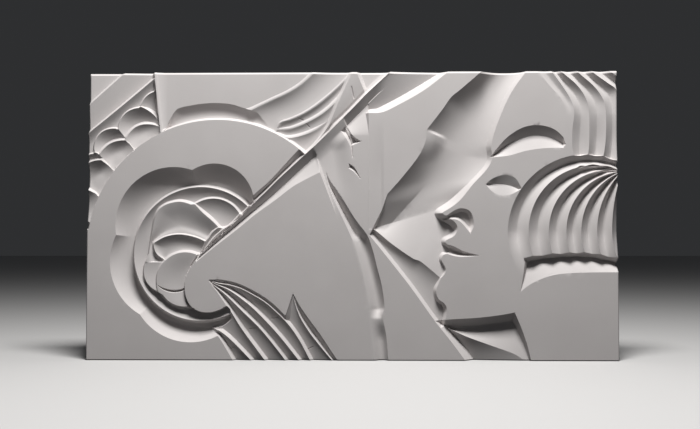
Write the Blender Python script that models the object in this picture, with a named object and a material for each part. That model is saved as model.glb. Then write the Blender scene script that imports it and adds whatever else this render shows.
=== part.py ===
"""Plaster wall plaque carved in low relief.

The plaque is one slab, cast in one piece. Its back lies on the plane y = 0, its front faces -Y,
and the origin is the middle of the back. The carving is a depth below the front plane, worked out
for any point of the front by laying forms over one another, as a carver cuts them. Sheet
coordinates are millimetres from the lower left corner of the drawing: x to the right, z up.
"""
import math

import bmesh
import bpy
import numpy as np

# The slab, in metres
PLAQUE_WIDTH = 0.610
PLAQUE_HEIGHT = 0.332
PLAQUE_THICKNESS = 0.045

# The sheet that the carving is drawn on, in millimetres: it is stretched to the slab's size
MM = 0.001
SHEET_WIDTH = 610.0
SHEET_HEIGHT = 332.0

# Depths below the front plane, in millimetres
SKY_DEPTH = 3.4
SUN_COVE_DEPTH = 8.8
CORNER_DEPTH = 10.0
CORNER_STRIP_DEPTH = 5.0
CORNER_COVE_DEPTH = 5.5
SCALE_RIM_DEPTH = 1.6
SCALE_GOUGE_DEPTH = 8.0
FEATHER_CREST_DEPTH = 0.4
FEATHER_DROP = 5.6
WING_STRIP_DEPTH = 1.4
WING_ARCH_DEPTH = 7.6
CLOUD_COVE_DEPTH = 12.5
RING_CREST_DEPTH = 1.0
RING_DROP = 8.0
LOBE_CREST_DEPTH = 2.6
LOBE_DROP = 6.0
ROD_DROP = 6.5
WEDGE_DROP = 8.5
BLADE_CREST_DEPTH = 0.6
BLADE_DROP = 6.4
CHANNEL_DEPTH = 7.0
SLOT_DEPTH = 1.6
HEAD_POCKET_DEPTH = 13.0
FOLD_DEPTH = 2.0
COLLAR_DEPTH = 11.5
COLLAR_RIDGE_DEPTH = 3.5
HAIR_FLUTE_DEPTH = 7.6
HAIR_STRAND_DEPTH = 5.4
HAIR_END_DEPTH = 11.0
FACE_CUT_DEPTH = 6.5

# Draft of the carved walls: millimetres of depth for each millimetre across
STEEP_DRAFT = 2.4
WALL_DRAFT = 1.7
BEVEL_DRAFT = 1.4
LEAF_DRAFT = 1.2

# Widths of the walls that keep one width however deep they stand, in millimetres
RIM_WIDTH = 3.3
LEAF_WIDTH = 3.8

# The faceted solid
CELL_SIZE = 3.4
SHEET_TRIANGLES = 9200
CURVE_STEPS = 5
CROSSING_STEPS = 9
CROSSING_MARGIN = 0.06
PLASTER_COLOUR = (0.71, 0.68, 0.67, 1.0)
PLASTER_ROUGHNESS = 0.75


class Carving:
    """Depths at a set of points, and for each point a number that tells the forms apart."""

    def __init__(self, x, z):
        self.x = x
        self.z = z
        self.depth = np.zeros(x.shape)
        self.form = np.zeros(x.shape, dtype=np.int64)
        self.count = 0

    def window(self, box):
        """The points inside a box, as a carving of their own, with their places in this one."""
        left, low, right, high = box
        places = np.flatnonzero((self.x > left) & (self.x < right) & (self.z > low) & (self.z < high))
        part = Carving(self.x[places], self.z[places])
        part.depth = self.depth[places]
        part.form = self.form[places]
        part.count = self.count
        return part, places

    def take_back(self, part, places):
        """Puts a window's depths back."""
        self.depth[places] = part.depth
        self.form[places] = part.form
        self.count = part.count

    def lay(self, sides, depth, draft=WALL_DRAFT, branch=None, width=None):
        """Gives the region on the positive side of every distance in sides a new depth.

        Walls drawn in from the region's outline join the new depth to what was there. They have
        the given draft, or where a width is given they all have that width.
        """
        self.count += 1
        sides = np.array([np.broadcast_to(side, self.x.shape) for side in sides])
        nearest = np.argmin(sides, axis=0)
        inside = np.min(sides, axis=0)
        if width is None:
            reach = np.maximum(inside, 0.0) * draft
            new = np.clip(depth, self.depth - reach, self.depth + reach)
            wall = (depth < self.depth - reach) * 1 + (depth > self.depth + reach) * 2
        else:
            new = self.depth + (depth - self.depth) * np.clip(inside / width, 0.0, 1.0)
            wall = (inside < width) * 1
        own = self.count * 64 + (0 if branch is None else branch)
        of_wall = (self.form * 31 + self.count * 64 + wall * 8 + nearest) % 2147483647
        covered = inside > 0.0
        self.depth = np.where(covered, new, self.depth)
        self.form = np.where(covered, np.where(wall == 0, own, of_wall), self.form)

    def beside(self, path, toward):
        """Distance from a curve, positive on the side that holds the point toward."""
        distance, cross = nearest_on_path(self.x, self.z, path)
        _, wanted = nearest_on_path(np.array([float(toward[0])]), np.array([float(toward[1])]), path)
        return distance * np.sign(cross) * np.sign(wanted[0])

    def within_circle(self, circle):
        """Distance inside a circle, negative outside it."""
        across, up, radius = circle
        return radius - np.hypot(self.x - across, self.z - up)


def nearest_on_path(x, z, path):
    """Distance from a path whose ends run on straight, and the side, positive on its left."""
    best = np.full(x.shape, np.inf)
    cross = np.zeros(x.shape)
    last = len(path) - 2
    for index in range(last + 1):
        (ax, az), (bx, bz) = path[index], path[index + 1]
        ux, uz = bx - ax, bz - az
        px, pz = x - ax, z - az
        along = (px * ux + pz * uz) / (ux * ux + uz * uz)
        along = np.clip(along, -np.inf if index == 0 else 0.0, np.inf if index == last else 1.0)
        squared = (px - along * ux) ** 2 + (pz - along * uz) ** 2
        nearer = squared < best
        best = np.where(nearer, squared, best)
        cross = np.where(nearer, ux * pz - uz * px, cross)
    return np.sqrt(best), cross


def curve(*points):
    """A smooth path through a few points."""
    points = np.array(points, dtype=float)
    ends = np.vstack([2 * points[0] - points[1], points, 2 * points[-1] - points[-2]])
    path = []
    for index in range(1, len(ends) - 2):
        before, start, end, after = ends[index - 1:index + 3]
        for step in range(CURVE_STEPS):
            t = step / CURVE_STEPS
            path.append(0.5 * (2 * start + (end - before) * t
                               + (2 * before - 5 * start + 4 * end - after) * t ** 2
                               + (3 * start - before - 3 * end + after) * t ** 3))
    path.append(ends[-2])
    return path


def share(near, far):
    """How far a point has gone from one edge to another, 0 to 1."""
    near = np.maximum(near, 0.0)
    far = np.maximum(far, 0.0)
    return near / np.maximum(near + far, 1e-6)


def ramp(value, start, end):
    """0 before start and 1 after end, with soft ends."""
    t = np.clip((value - start) / (end - start), 0.0, 1.0)
    return t * t * (3 - 2 * t)


def hollow(t):
    """A cove's fall from 0 to 1: steep at first, then level."""
    return np.sin(np.clip(t, 0.0, 1.0) * math.pi / 2)


def dish(t, low):
    """A dished face's fall: steep at first, 1 at the share low of the way, and a little less beyond."""
    return 1 - np.abs(1 - t / low) ** 2.2


def valley(t):
    """A flute's depth across its width: 0 at both edges and 1 along a fairly crisp middle line."""
    rise = 2 * np.minimum(t, 1 - t)
    return 0.6 * rise + 0.4 * np.sin(rise * math.pi / 2)


# Main lines of the drawing, which several forms share
SUN = (150.0, 127.0, 149.5)
POST = [(76.5, 345.0), (77.0, 330.0), (84.0, 264.0)]
ROD_TOP = curve((362, 343), (345, 327), (323, 306.5), (309.5, 292.5), (290.5, 273.5), (273.5, 256.5),
                (262, 245.5), (251.5, 236), (235.5, 221), (221, 207.5), (208.5, 195), (194.5, 181.5),
                (178.5, 165.5), (166, 153.5), (152, 141), (140, 129.5), (128, 118.5))
ROD_FOOT = curve((345, 315), (324, 294.5), (312, 282.5), (298, 268), (280, 250.5), (270, 241), (260.5, 232.3),
                 (240, 213.5), (220, 195), (200, 178), (182.5, 163.8), (163, 147), (139, 125.5), (126, 114))
PLANE_EDGE = curve((268.5, 215.5), (255.5, 209), (237.5, 199), (218, 184), (194.5, 167), (177, 152.5),
                   (163, 141.5), (145, 127.5), (128, 113.5))
ROD_CORNER = [(258, 241), (262, 233), (269, 215)]
LEAF_LINE = curve((281, 281), (289, 269), (296, 259.5), (303, 247), (306, 232))
PLANE_END = curve((128, 117), (121, 107.5), (115.5, 97), (113.5, 86), (115, 73), (121, 62),
                  (131, 56), (143, 55), (154, 58), (163, 62), (171, 52), (184, 30))
RELIEF_EDGE = ROD_TOP[:-2] + PLANE_END


def sky(work):
    """The plane behind the sun, filleted up to the post at its left."""
    post_side = work.beside(POST, (120, 300))
    depth = SKY_DEPTH * np.sin(np.clip(post_side / (7 + (work.z - 262) * 0.12), 0, 1) * math.pi / 2)
    limits = [-work.within_circle(SUN), post_side, work.beside(ROD_TOP, (200, 300))]
    work.lay(limits, depth, width=RIM_WIDTH)


def sun_cove(work):
    """The cove over the sun's rim."""
    outer = curve((84, 260), (89, 265), (93, 274), (99, 285), (105, 290.5), (120, 294), (135, 296),
                  (150, 296.5), (166, 295), (182, 290), (198, 284), (215, 270), (226, 258))
    above = work.beside(outer, (150, 285))
    outside = -work.within_circle(SUN)
    fade = 1 - 0.7 * ramp(work.x, 175, 226)
    fall = (SUN_COVE_DEPTH - SKY_DEPTH) * dish(share(above, outside), 0.62) * fade
    rim = np.clip(outside / RIM_WIDTH, 0.0, 1.0)
    work.lay([above, outside], (SKY_DEPTH + fall) * rim, STEEP_DRAFT, (rim < 1) * 1)


def corner(work):
    """The stepped planes and the overlapping scales left of the post."""
    left_of_post = work.beside(POST, (40, 300))
    outside = -work.within_circle(SUN)
    crest = curve((-12, 252), (0, 261), (38, 292), (76, 324), (100, 345))
    step = curve((-12, 286), (0, 295), (38, 329), (50, 340))
    below = work.beside(crest, (60, 280))
    cove = 1.2 + (CORNER_COVE_DEPTH - 1.2) * hollow(below / 12)
    work.lay([left_of_post, outside], cove, width=RIM_WIDTH)
    above_step = work.beside(step, (0, 330))
    strip = CORNER_STRIP_DEPTH + 4.0 * share(-above_step, -below)
    work.lay([left_of_post, -below], strip, width=LEAF_WIDTH)
    work.lay([left_of_post, above_step], CORNER_DEPTH - 0.03 * above_step, width=RIM_WIDTH)
    first_border = [(28, 275), (33, 269), (42, 257), (60, 235)]
    second_border = [(6, 247), (15, 234), (34, 214)]
    third_border = [(-10, 205), (0, 199), (16, 190)]
    scales = (
        ((84, 287, 26), POST, (60, 285)),
        ((60, 266, 27), POST, (60, 285)),
        ((66, 251, 25), POST, (60, 285)),
        ((29, 245, 24), first_border, (20, 250)),
        ((36, 231, 25.5), first_border, (20, 240)),
        ((9, 214, 26), second_border, (0, 220)),
        ((12, 206, 27), second_border, (0, 215)),
        ((-6, 178, 22), third_border, (0, 190)),
    )
    for circle, border, toward in scales:
        inside = work.within_circle(circle)
        rising = 0.4 + 0.6 * ramp(outside, 0, 20)
        depth = SCALE_RIM_DEPTH + SCALE_GOUGE_DEPTH * hollow(inside / 20) * rising
        work.lay([inside, work.beside(border, toward), outside, left_of_post], depth, BEVEL_DRAFT)


def feather(work, edge, toward, next_edge, limits, crest, drop, low=0.95):
    """A leaf of the wing: its edge stands up as a crisp crest and its face is dished to the next leaf."""
    inside = work.beside(edge, toward)
    ahead = -work.beside(next_edge, toward)
    depth = crest + drop * dish(share(inside, ahead), low)
    work.lay([inside, ahead + 8] + limits, depth, width=LEAF_WIDTH)


def wing(work):
    """Long leaves that fan down beside the rod, with a small fluted leaf at their foot."""
    outside = -work.within_circle(SUN)
    above_rod = work.beside(ROD_TOP, (200, 300))
    limits = [outside, above_rod]
    toward = (330, 250)
    first = curve((150, 283), (182, 289.5), (200, 297), (215, 304), (230, 311), (245, 320.5), (262, 336))
    second = curve((219, 262), (219, 267), (222, 275), (235, 280), (250, 287), (265, 297), (280, 309),
                   (292, 320), (308, 337))
    third = curve((216, 264), (222, 267.5), (235, 270), (250, 276), (265, 284), (278, 294), (296, 312))
    fourth = curve((222, 262), (230, 259.5), (240, 260.5), (255, 265), (275, 274.5), (292, 286))
    last = curve((244, 231), (256, 244.5), (266, 256), (276, 272.5), (286, 297), (300, 328), (305, 340))
    under_cove = curve((182, 290), (198, 284), (215, 270), (226, 260))
    cove = work.depth.copy()
    feather(work, first, toward, second, limits + [work.x - 181], FEATHER_CREST_DEPTH, FEATHER_DROP, 0.74)
    below_cove = [work.beside(under_cove, (200, 270)), outside, work.x - 181]
    work.lay(below_cove, np.maximum(cove, work.depth), STEEP_DRAFT)
    feather(work, second, toward, third, limits, FEATHER_CREST_DEPTH + 0.8, FEATHER_DROP)
    feather(work, third, toward, fourth, limits, FEATHER_CREST_DEPTH + 2.0, FEATHER_DROP - 1)
    feather(work, fourth, toward, last, limits, FEATHER_CREST_DEPTH + 2.6, FEATHER_DROP - 1)
    past_last = work.beside(last, toward)
    strip = WING_STRIP_DEPTH + 4.4 * share(past_last, above_rod) ** 1.6
    work.lay([past_last, above_rod * 0.65, outside], strip, width=LEAF_WIDTH)
    arch = [work.beside(curve((309, 338), (315, 322), (321, 308)), (330, 330)), above_rod * 0.65]
    work.lay(arch, WING_ARCH_DEPTH, width=LEAF_WIDTH)


def rod_margin(work):
    """The narrow sunk strip between the sun and the rod."""
    edge = curve((252, 248), (243, 240.5), (225, 221), (210, 205), (193, 190), (180, 177))
    above_rod = work.beside(ROD_TOP, (220, 225))
    depth = SKY_DEPTH + 2.6 * (1 - ramp(above_rod, 2, 8))
    work.lay([work.beside(edge, (240, 228)), above_rod, work.within_circle(SUN)], depth, WALL_DRAFT)


def cloud(work):
    """The scalloped cove round the ring."""
    lobes = (
        (147, 180, 46),
        (100, 155, 67),
        (97, 113, 70),
        (120.5, 90, 69.5),
    )
    outline = np.max([work.within_circle(lobe) for lobe in lobes], axis=0)
    lobe_number = np.argmax([work.within_circle(lobe) for lobe in lobes], axis=0)
    ring_side = -work.within_circle((131, 122, 79))
    depth = CLOUD_COVE_DEPTH * dish(share(outline, ring_side), 0.88)
    work.lay([outline, work.beside(RELIEF_EDGE, (100, 190))], depth, STEEP_DRAFT, lobe_number)


def ring(work):
    """The ring and the cloud lobes heaped inside it."""
    limit = work.beside(RELIEF_EDGE, (100, 190))
    inside = work.within_circle((131, 122, 80.5))
    depth = RING_CREST_DEPTH + RING_DROP * dish(np.clip(inside / 22, 0.0, 1.0), 0.85)
    work.lay([inside, limit], depth, STEEP_DRAFT)
    right_lobe = work.within_circle((145, 150, 38.5))
    depth = LOBE_CREST_DEPTH + LOBE_DROP * dish(np.clip(right_lobe / 30, 0.0, 1.0), 0.75)
    work.lay([right_lobe, limit], depth, WALL_DRAFT)
    left_lobe = work.within_circle((92, 103, 28.5))
    work.lay([left_lobe, limit], LOBE_CREST_DEPTH + 3.4 * hollow(left_lobe / 22), STEEP_DRAFT)
    top_edge = curve((68, 118), (72, 147), (75, 163), (80, 174), (88, 180.5), (97, 184), (107, 185.5),
                     (117, 183.5), (126, 179), (135, 172), (145, 163.5), (154, 154), (166, 140))
    middle_edge = curve((96, 112), (80, 120), (75, 133), (82, 139.5), (92, 144), (105, 146), (118, 144.5),
                        (132, 140), (146, 132))
    top = work.beside(top_edge, (110, 150))
    middle = work.beside(middle_edge, (105, 130))
    inner = work.within_circle((113.5, 92, 34.5))
    crest = LOBE_CREST_DEPTH - 0.6
    t = share(top, -middle)
    fall = LOBE_DROP * (ramp(t, -0.15, 0.8) - 0.25 * ramp(t, 0.78, 1.0))
    work.lay([top, -middle + 6, work.z - 112, limit], crest + fall, WALL_DRAFT)
    fall = LOBE_DROP * dish(share(middle, -inner), 0.72)
    work.lay([middle, work.z - 100, limit], crest + fall, WALL_DRAFT)
    work.lay([inner, limit], crest + 3.0 * ramp(inner, -4, 30), WALL_DRAFT)
    smile = [work.within_circle((101, 103, 26.2)), -work.within_circle((101, 116, 35.5)), limit]
    work.lay(smile, 8.0, STEEP_DRAFT)


def rod_leaves(work):
    """Two slim leaves curling off the lower end of the rod."""
    above_rod = work.beside(ROD_TOP, (150, 180))
    outer = curve((184, 176), (173, 166), (161, 155), (152, 153), (143, 148), (137, 140), (132, 130),
                  (127, 115))
    inner = curve((170, 160), (155, 150.5), (143, 139), (134, 126), (128, 114))
    toward = (160, 140)
    in_outer = work.beside(outer, toward)
    in_inner = work.beside(inner, toward)
    work.lay([in_outer, above_rod], 0.8 + 4.0 * share(in_outer, -in_inner), WALL_DRAFT)
    work.lay([in_inner, above_rod], 1.0 + 2.4 * ramp(in_inner, 0, 7), WALL_DRAFT)


def upper_wedge(work):
    """The long cove between the rod's upper end and the plane at its right."""
    crest = work.beside(ROD_TOP, (400, 300))
    foot = curve((318, 282), (328, 287), (350, 298), (370, 309), (405, 330), (420, 339))
    edge = curve((325, 284), (341, 285), (358.5, 293), (388.5, 310), (418, 332.5), (428, 341))
    above_foot = work.beside(foot, (350, 325))
    above_edge = work.beside(edge, (350, 325))
    fall = WEDGE_DROP * share(crest, above_foot) ** 0.8
    rise = WEDGE_DROP * share(above_edge, -above_foot)
    depth = np.where(above_foot > 0, fall, rise)
    work.lay([crest, above_edge, work.x - 310], depth, BEVEL_DRAFT, (above_foot > 0) * 1)


def rod(work):
    """The rod: a crisp edge above, a steep dark side below, and the bevel of the plane under it."""
    crest = work.beside(ROD_TOP, (300, 200))
    above_foot = work.beside(ROD_FOOT, (200, 200))
    above_edge = work.beside(PLANE_EDGE, (200, 200))
    past_corner = work.beside(ROD_CORNER, (300, 230))
    past_leaf = work.beside(LEAF_LINE, (320, 270))
    drop = ROD_DROP * (0.35 + 0.65 * ramp(work.x, 120, 205))
    fall = drop * share(crest, above_foot)
    past_notch = work.beside([(297, 275), (300, 264), (309, 256)], (320, 270))
    near_leaf = 1 - ramp(-past_leaf, 0, 22)
    soft = 5.0 * hollow(crest / 18) * (1 - ramp(crest, 14, 80))
    soft = soft + (0.5 * fall * (1 - ramp(crest, 8, 20)) - soft) * near_leaf
    work.lay([crest, past_corner, 14 - past_notch, 80 - crest], soft, BEVEL_DRAFT)
    rise = drop * share(above_edge, -above_foot)
    depth = np.where(above_foot > 0, fall, rise) * (1 - ramp(past_corner, 0, 9))
    sides = [crest, above_edge, 9 - past_corner, work.x + work.z - 240]
    work.lay(sides, np.maximum(depth, work.depth), BEVEL_DRAFT, (above_foot > 0) * 1)
    rise = ROD_DROP * share(work.z - 258, -above_foot) ** 1.5
    past_peak = ramp(work.x, 325, 345)
    fall = fall * (1 - past_peak) + work.depth * past_peak
    depth = np.where(above_foot > 0, fall, rise)
    right_end = np.maximum(325 - work.x, np.minimum(above_foot, 345 - work.x))
    sides = [crest, past_notch, right_end, np.maximum(above_foot, work.z - 258)]
    work.lay(sides, depth, BEVEL_DRAFT, (above_foot > 0) * 1)


def blades(work):
    """The fan of long blades at the foot of the sheet, each with a crisp edge and a falling face."""
    outer = curve((133, 91), (141, 91.5), (152, 92.5), (166, 90.5), (180, 86), (195, 78.5), (210, 69),
                  (222, 58.5), (235, 45))
    spike_left = [(220, 30), (230, 52), (238.5, 78)]
    spike_right = curve((231, 87), (238.5, 76), (246, 62.5), (256, 48), (268, 32), (280, 14), (296, -10))
    under_outer = work.beside(outer, (180, 60))
    in_spike = np.minimum(work.beside(spike_left, (250, 30)), work.beside(spike_right, (240, 30)))
    pocket = np.maximum(under_outer, in_spike)
    left_bound = curve((180, -18), (169, 0), (157, 20), (149, 30.5), (143, 37), (152, 38), (160, 42),
                       (166, 52), (160, 65), (141, 91.5), (135, 98))
    right_of_bound = work.beside(left_bound, (220, 40))
    edges = (
        curve((143, 37), (150, 30), (157, 20.5), (169, 0), (176, -14)),
        curve((143, 37.5), (150, 35.5), (159, 30), (170, 20.5), (190, 0), (202, -14)),
        curve((139, 94), (150, 79), (165, 58.5), (180, 35), (206, 0), (216, -14)),
        curve((139, 94), (144, 88), (160, 75.5), (180, 56), (200, 36.5), (220, 12.5), (240, -14)),
        curve((139, 94), (147, 88), (165, 80), (185, 65.5), (200, 52), (222, 28.5), (245, 0), (256, -14)),
        curve((139, 94), (150, 88.5), (165, 86), (178, 82), (190, 76), (205, 67), (218, 56), (232, 42),
              (245, 24), (258, 0), (266, -14)),
        curve((236, 84), (239, 70), (245, 52), (255, 35), (266, 20.5), (283, 0), (296, -14)),
    )
    toward = (320, 60)
    sides = [work.beside(edge, toward) for edge in edges]
    sides.append(pocket)
    for index, side in enumerate(sides[:-1]):
        ahead = -sides[index + 1] if index < len(edges) - 1 else pocket
        depth = BLADE_CREST_DEPTH + BLADE_DROP * (1 - share(side, ahead)) ** 0.65
        if index == len(edges) - 1:
            depth = BLADE_CREST_DEPTH + BLADE_DROP
        work.lay([side, pocket * 0.5, right_of_bound], depth, WALL_DRAFT)


def channel(work):
    """The long shallow channel that bounds the big plane, with a stop near its foot."""
    left = curve((258, 241), (262.5, 232), (270, 216), (283, 188), (300, 152), (308, 133), (313.5, 115),
                 (318, 98), (322, 80), (325, 62), (326, 45), (329, 20), (332, -10))
    right = curve((260, 245), (264, 235), (274, 221), (284, 205), (303, 172), (313, 157), (323.5, 143),
                  (330, 125), (335, 105), (340, 85), (343, 62), (341, 50), (345, 28), (348, -10))
    from_left = work.beside(left, (340, 150))
    from_right = work.beside(right, (290, 150))
    t = share(from_left, from_right)
    fold = 0.36 + 0.64 * (1 - ramp(-work.z, -226, -200))
    deep = CHANNEL_DEPTH * (0.6 + 0.4 * ramp(-work.z, -220, -190))
    upper = deep * np.where(t < fold, t / fold, (1 - t) / np.maximum(1 - fold, 0.01))
    lower = CHANNEL_DEPTH * np.sin(math.pi * t ** 1.4)
    depth = upper + (lower - upper) * ramp(-work.z, -146, -136)
    stop = 1 - 0.75 * np.clip((58 - work.z) / 10, 0.0, 1.0) + 0.5 * ramp(-work.z, -47.5, -22)
    depth = depth * stop
    depth = np.maximum(depth, work.depth)
    work.lay([from_left, from_right, 238 - work.z], depth, STEEP_DRAFT, (t > fold) * 1)


def slot(work):
    """The shallow upright band beside the channel."""
    across = work.x - 325
    depth = SLOT_DEPTH * (0.25 + 0.75 * ramp(across, 1, 14)) * (1 - ramp(across, 14, 18))
    depth = depth * ramp(-work.z, -281, -205)
    work.lay([across, 343 - work.x, 281 - work.z, work.z - 150], depth, WALL_DRAFT)


def small_leaf_cuts(work):
    """Two small leaf cuts under the rod."""
    leaf_right = curve((290, 276), (297, 268), (303, 259), (306, 248), (307, 232))
    under_rod = work.beside(ROD_TOP, (300, 200)) - 8.5
    past_leaf = work.beside(LEAF_LINE, (320, 260))
    leaf = [past_leaf, work.beside(leaf_right, (285, 250)) * 2, work.z - 233, under_rod]
    work.lay(leaf, np.maximum(6.0, work.depth), LEAF_DRAFT)
    notch_top = curve((299, 272), (304, 262), (309, 256), (318, 250.5))
    notch_bottom = [(300, 242), (306, 246.5), (318, 251.5)]
    notch_left = curve((294, 272), (299, 263), (303, 256), (306, 240))
    notch = [work.beside(notch_top, (304, 255)), work.beside(notch_bottom, (304, 255)),
             work.beside(notch_left, (310, 255)), under_rod]
    work.lay(notch, np.maximum(5.0, work.depth), WALL_DRAFT)
    drop_top = curve((302, 226), (309, 221), (316, 208))
    drop_bottom = curve((302, 220), (308, 216), (317, 206))
    drop = [work.beside(drop_top, (304, 215)) * 2, work.beside(drop_bottom, (312, 222)), work.x - 302,
            work.z - 209]
    work.lay(drop, 4.0, LEAF_DRAFT)


# The face is drawn in its own frame: forward and up from the chin, in thirds of the face's height
FACE_CHIN = (404.0, 68.0)
FACE_LEAN = math.radians(19.0)
FACE_THIRD = 88.0


def face_point(forward, up):
    """A point of the sheet from the face's own frame, in thirds."""
    cosine, sine = math.cos(FACE_LEAN), math.sin(FACE_LEAN)
    across = FACE_CHIN[0] + FACE_THIRD * (up * sine - forward * cosine)
    return across, FACE_CHIN[1] + FACE_THIRD * (up * cosine + forward * sine)


def face_curve(*points):
    """A smooth path through points of the face's own frame."""
    return curve(*[face_point(*point) for point in points])


FACE_PROFILE = face_curve((-0.30, 3.9), (-0.10, 3.3), (0.02, 2.9), (0.06, 2.5), (0.05, 2.15), (-0.02, 1.93),
                          (0.10, 1.62), (0.27, 1.30), (0.40, 1.12), (0.36, 1.03), (0.15, 0.98),
                          (0.12, 0.90), (0.20, 0.80), (0.19, 0.72), (0.10, 0.665), (0.16, 0.60),
                          (0.15, 0.50), (0.05, 0.40), (0.08, 0.26), (0.10, 0.12), (0.03, 0.0),
                          (-0.10, -0.06), (-0.14, -0.25), (-0.18, -0.45), (-0.40, -0.9), (-0.8, -1.3))


def head_pocket(work):
    """The sunk ground in front of the face, with a fold below."""
    upper = curve((464, 342), (455, 332), (432, 312), (420, 302), (410, 288), (393, 266))
    lower = curve((392, 266), (390, 250), (381, 232), (362, 208), (346, 190))
    corner_edge = [(347, 192), (340, 172), (327, 146)]
    shoulder = curve((318, 157), (326, 147), (350, 117), (375, 85), (400, 50), (420, 25), (437, 2),
                     (445, -12))
    fold = curve((326, 149), (331, 150), (352, 133), (375, 117), (386, 112), (412, 90), (440, 66))
    valley_line = [(326, 150), (367, 162), (420, 178)]
    step = [(380, 271), (393, 266), (416, 257), (470, 236)]
    inside = work.beside(upper + lower[1:], (420, 230))
    right_of_corner = work.beside(corner_edge, (380, 150))
    above_shoulder = work.beside(shoulder, (420, 100)) + 2.4
    above_fold = work.beside(fold, (380, 150))
    above_valley = work.beside(valley_line, (370, 200))
    above_step = work.beside(step, (430, 300))
    before_face = -work.beside(FACE_PROFILE, (520, 180))
    deep = HEAD_POCKET_DEPTH
    cove = deep * dish(share(inside, before_face), 0.6)
    near_step = 0.5 * (1 - ramp(-work.z, -262, -225)) * (1 - ramp(inside, 8, 26))
    near_step = near_step * np.clip(-above_step / 3, 0.0, 1.0)
    plain = deep * np.clip(inside / 26, 0.0, 1.0)
    band = cove * (1 - near_step)
    band = band + (plain - band) * ramp(-work.z, -205, -180)
    rising = FOLD_DEPTH + np.maximum(plain - FOLD_DEPTH, 0.0) * share(above_fold, -above_valley)
    falling = FOLD_DEPTH + 4.0 * dish(share(-above_fold, above_shoulder - 4), 0.8)
    depth = np.where(above_valley > 0, band, np.where(above_fold > 0, rising, falling))
    branch = (above_valley > 0) * 1 + (above_fold > 0) * 2
    work.lay([inside, right_of_corner, above_shoulder * 0.6], depth, STEEP_DRAFT, branch)


def head(work):
    """The head: a plane whose profile is bevelled down to the sunk ground."""
    work.lay([work.beside(FACE_PROFILE, (520, 180))], 0.0, WALL_DRAFT)


def brow_and_eye(work):
    """Brow, lid and eye as nested leaf-shaped cuts."""
    toward = (560, 330)
    top = face_curve((-0.02, 1.90), (-0.06, 2.05), (-0.16, 2.30), (-0.32, 2.50), (-0.52, 2.60),
                     (-0.75, 2.60), (-0.98, 2.46), (-1.10, 2.34))
    middle = face_curve((-0.02, 1.96), (-0.10, 2.08), (-0.22, 2.24), (-0.38, 2.39), (-0.56, 2.48),
                        (-0.76, 2.50), (-0.96, 2.455), (-1.12, 2.38))
    low = face_curve((0.02, 1.97), (-0.06, 2.00), (-0.26, 2.09), (-0.45, 2.22), (-0.64, 2.32),
                     (-0.82, 2.39), (-0.97, 2.44), (-1.12, 2.52))
    brow_top = -work.beside(top, toward)
    brow_middle = -work.beside(middle, toward)
    brow_low = work.beside(low, toward)
    falling = FACE_CUT_DEPTH * share(brow_top, -brow_middle)
    rising = FACE_CUT_DEPTH * share(brow_low, brow_middle)
    depth = np.where(brow_middle > 0, rising, falling)
    work.lay([brow_top, brow_low], depth, STEEP_DRAFT, (brow_middle > 0) * 1)
    lid_top = face_curve((-0.08, 1.60), (-0.16, 1.74), (-0.30, 1.84), (-0.44, 1.84), (-0.56, 1.74))
    lid_middle = face_curve((-0.06, 1.63), (-0.20, 1.68), (-0.34, 1.72), (-0.46, 1.73), (-0.58, 1.71))
    lid_low = face_curve((-0.06, 1.68), (-0.16, 1.60), (-0.30, 1.56), (-0.44, 1.61), (-0.58, 1.76))
    eye_top = -work.beside(lid_top, toward)
    eye_middle = -work.beside(lid_middle, toward)
    eye_low = work.beside(lid_low, toward)
    falling = 0.6 * FACE_CUT_DEPTH * share(eye_top, -eye_middle)
    rising = 0.6 * FACE_CUT_DEPTH * share(eye_low, eye_middle)
    depth = np.where(eye_middle > 0, rising, falling)
    work.lay([eye_top, eye_low], depth, STEEP_DRAFT, (eye_middle > 0) * 1)


def nose_and_mouth(work):
    """The wing of the nose and the parting of the lips."""
    wing_top = face_curve((0.30, 1.02), (0.14, 1.22), (-0.02, 1.24), (-0.12, 1.10), (-0.12, 0.98))
    wing_low = face_curve((0.30, 1.00), (0.10, 1.08), (-0.12, 0.97))
    centre = face_point(0.05, 1.12)
    in_face = work.beside(FACE_PROFILE, (520, 180))
    nostril = [work.beside(wing_top, centre), work.beside(wing_low, centre), in_face]
    work.lay(nostril, FACE_CUT_DEPTH, WALL_DRAFT)
    lip_top = face_curve((0.30, 0.68), (0.08, 0.74), (-0.12, 0.72), (-0.34, 0.74))
    lip_low = face_curve((0.30, 0.66), (0.08, 0.62), (-0.10, 0.64), (-0.34, 0.74))
    centre = face_point(0.0, 0.68)
    mouth = [work.beside(lip_top, centre), work.beside(lip_low, centre), in_face]
    work.lay(mouth, FACE_CUT_DEPTH, WALL_DRAFT)


def collar(work):
    """The pocket of the collar, with a ridge across it."""
    top = curve((408, 46), (418, 47), (450, 49), (475, 52), (494, 55.5))
    right = curve((487, 66), (491.5, 55), (498, 40), (505, 20), (510, 0), (512, -12))
    ridge = curve((412, 39), (424, 33), (440, 26), (465, 17), (490, 8), (503, 0), (520, -10))
    shoulder = curve((388, 61), (398, 48), (418, 23), (435, 0), (443, -14))
    under_top = work.beside(top, (460, 20))
    left_of_right = work.beside(right, (460, 20))
    above_ridge = work.beside(ridge, (480, 40))
    from_shoulder = work.beside(shoulder, (460, 20))
    rising = COLLAR_RIDGE_DEPTH + (COLLAR_DEPTH - COLLAR_RIDGE_DEPTH) * share(above_ridge, under_top - 12)
    falling = COLLAR_RIDGE_DEPTH + 9.0 * share(-above_ridge, from_shoulder - 5)
    depth = np.where(above_ridge > 0, rising, falling)
    work.lay([under_top, left_of_right * 1.8, from_shoulder], depth, 1.2, (above_ridge > 0) * 1)


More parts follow.
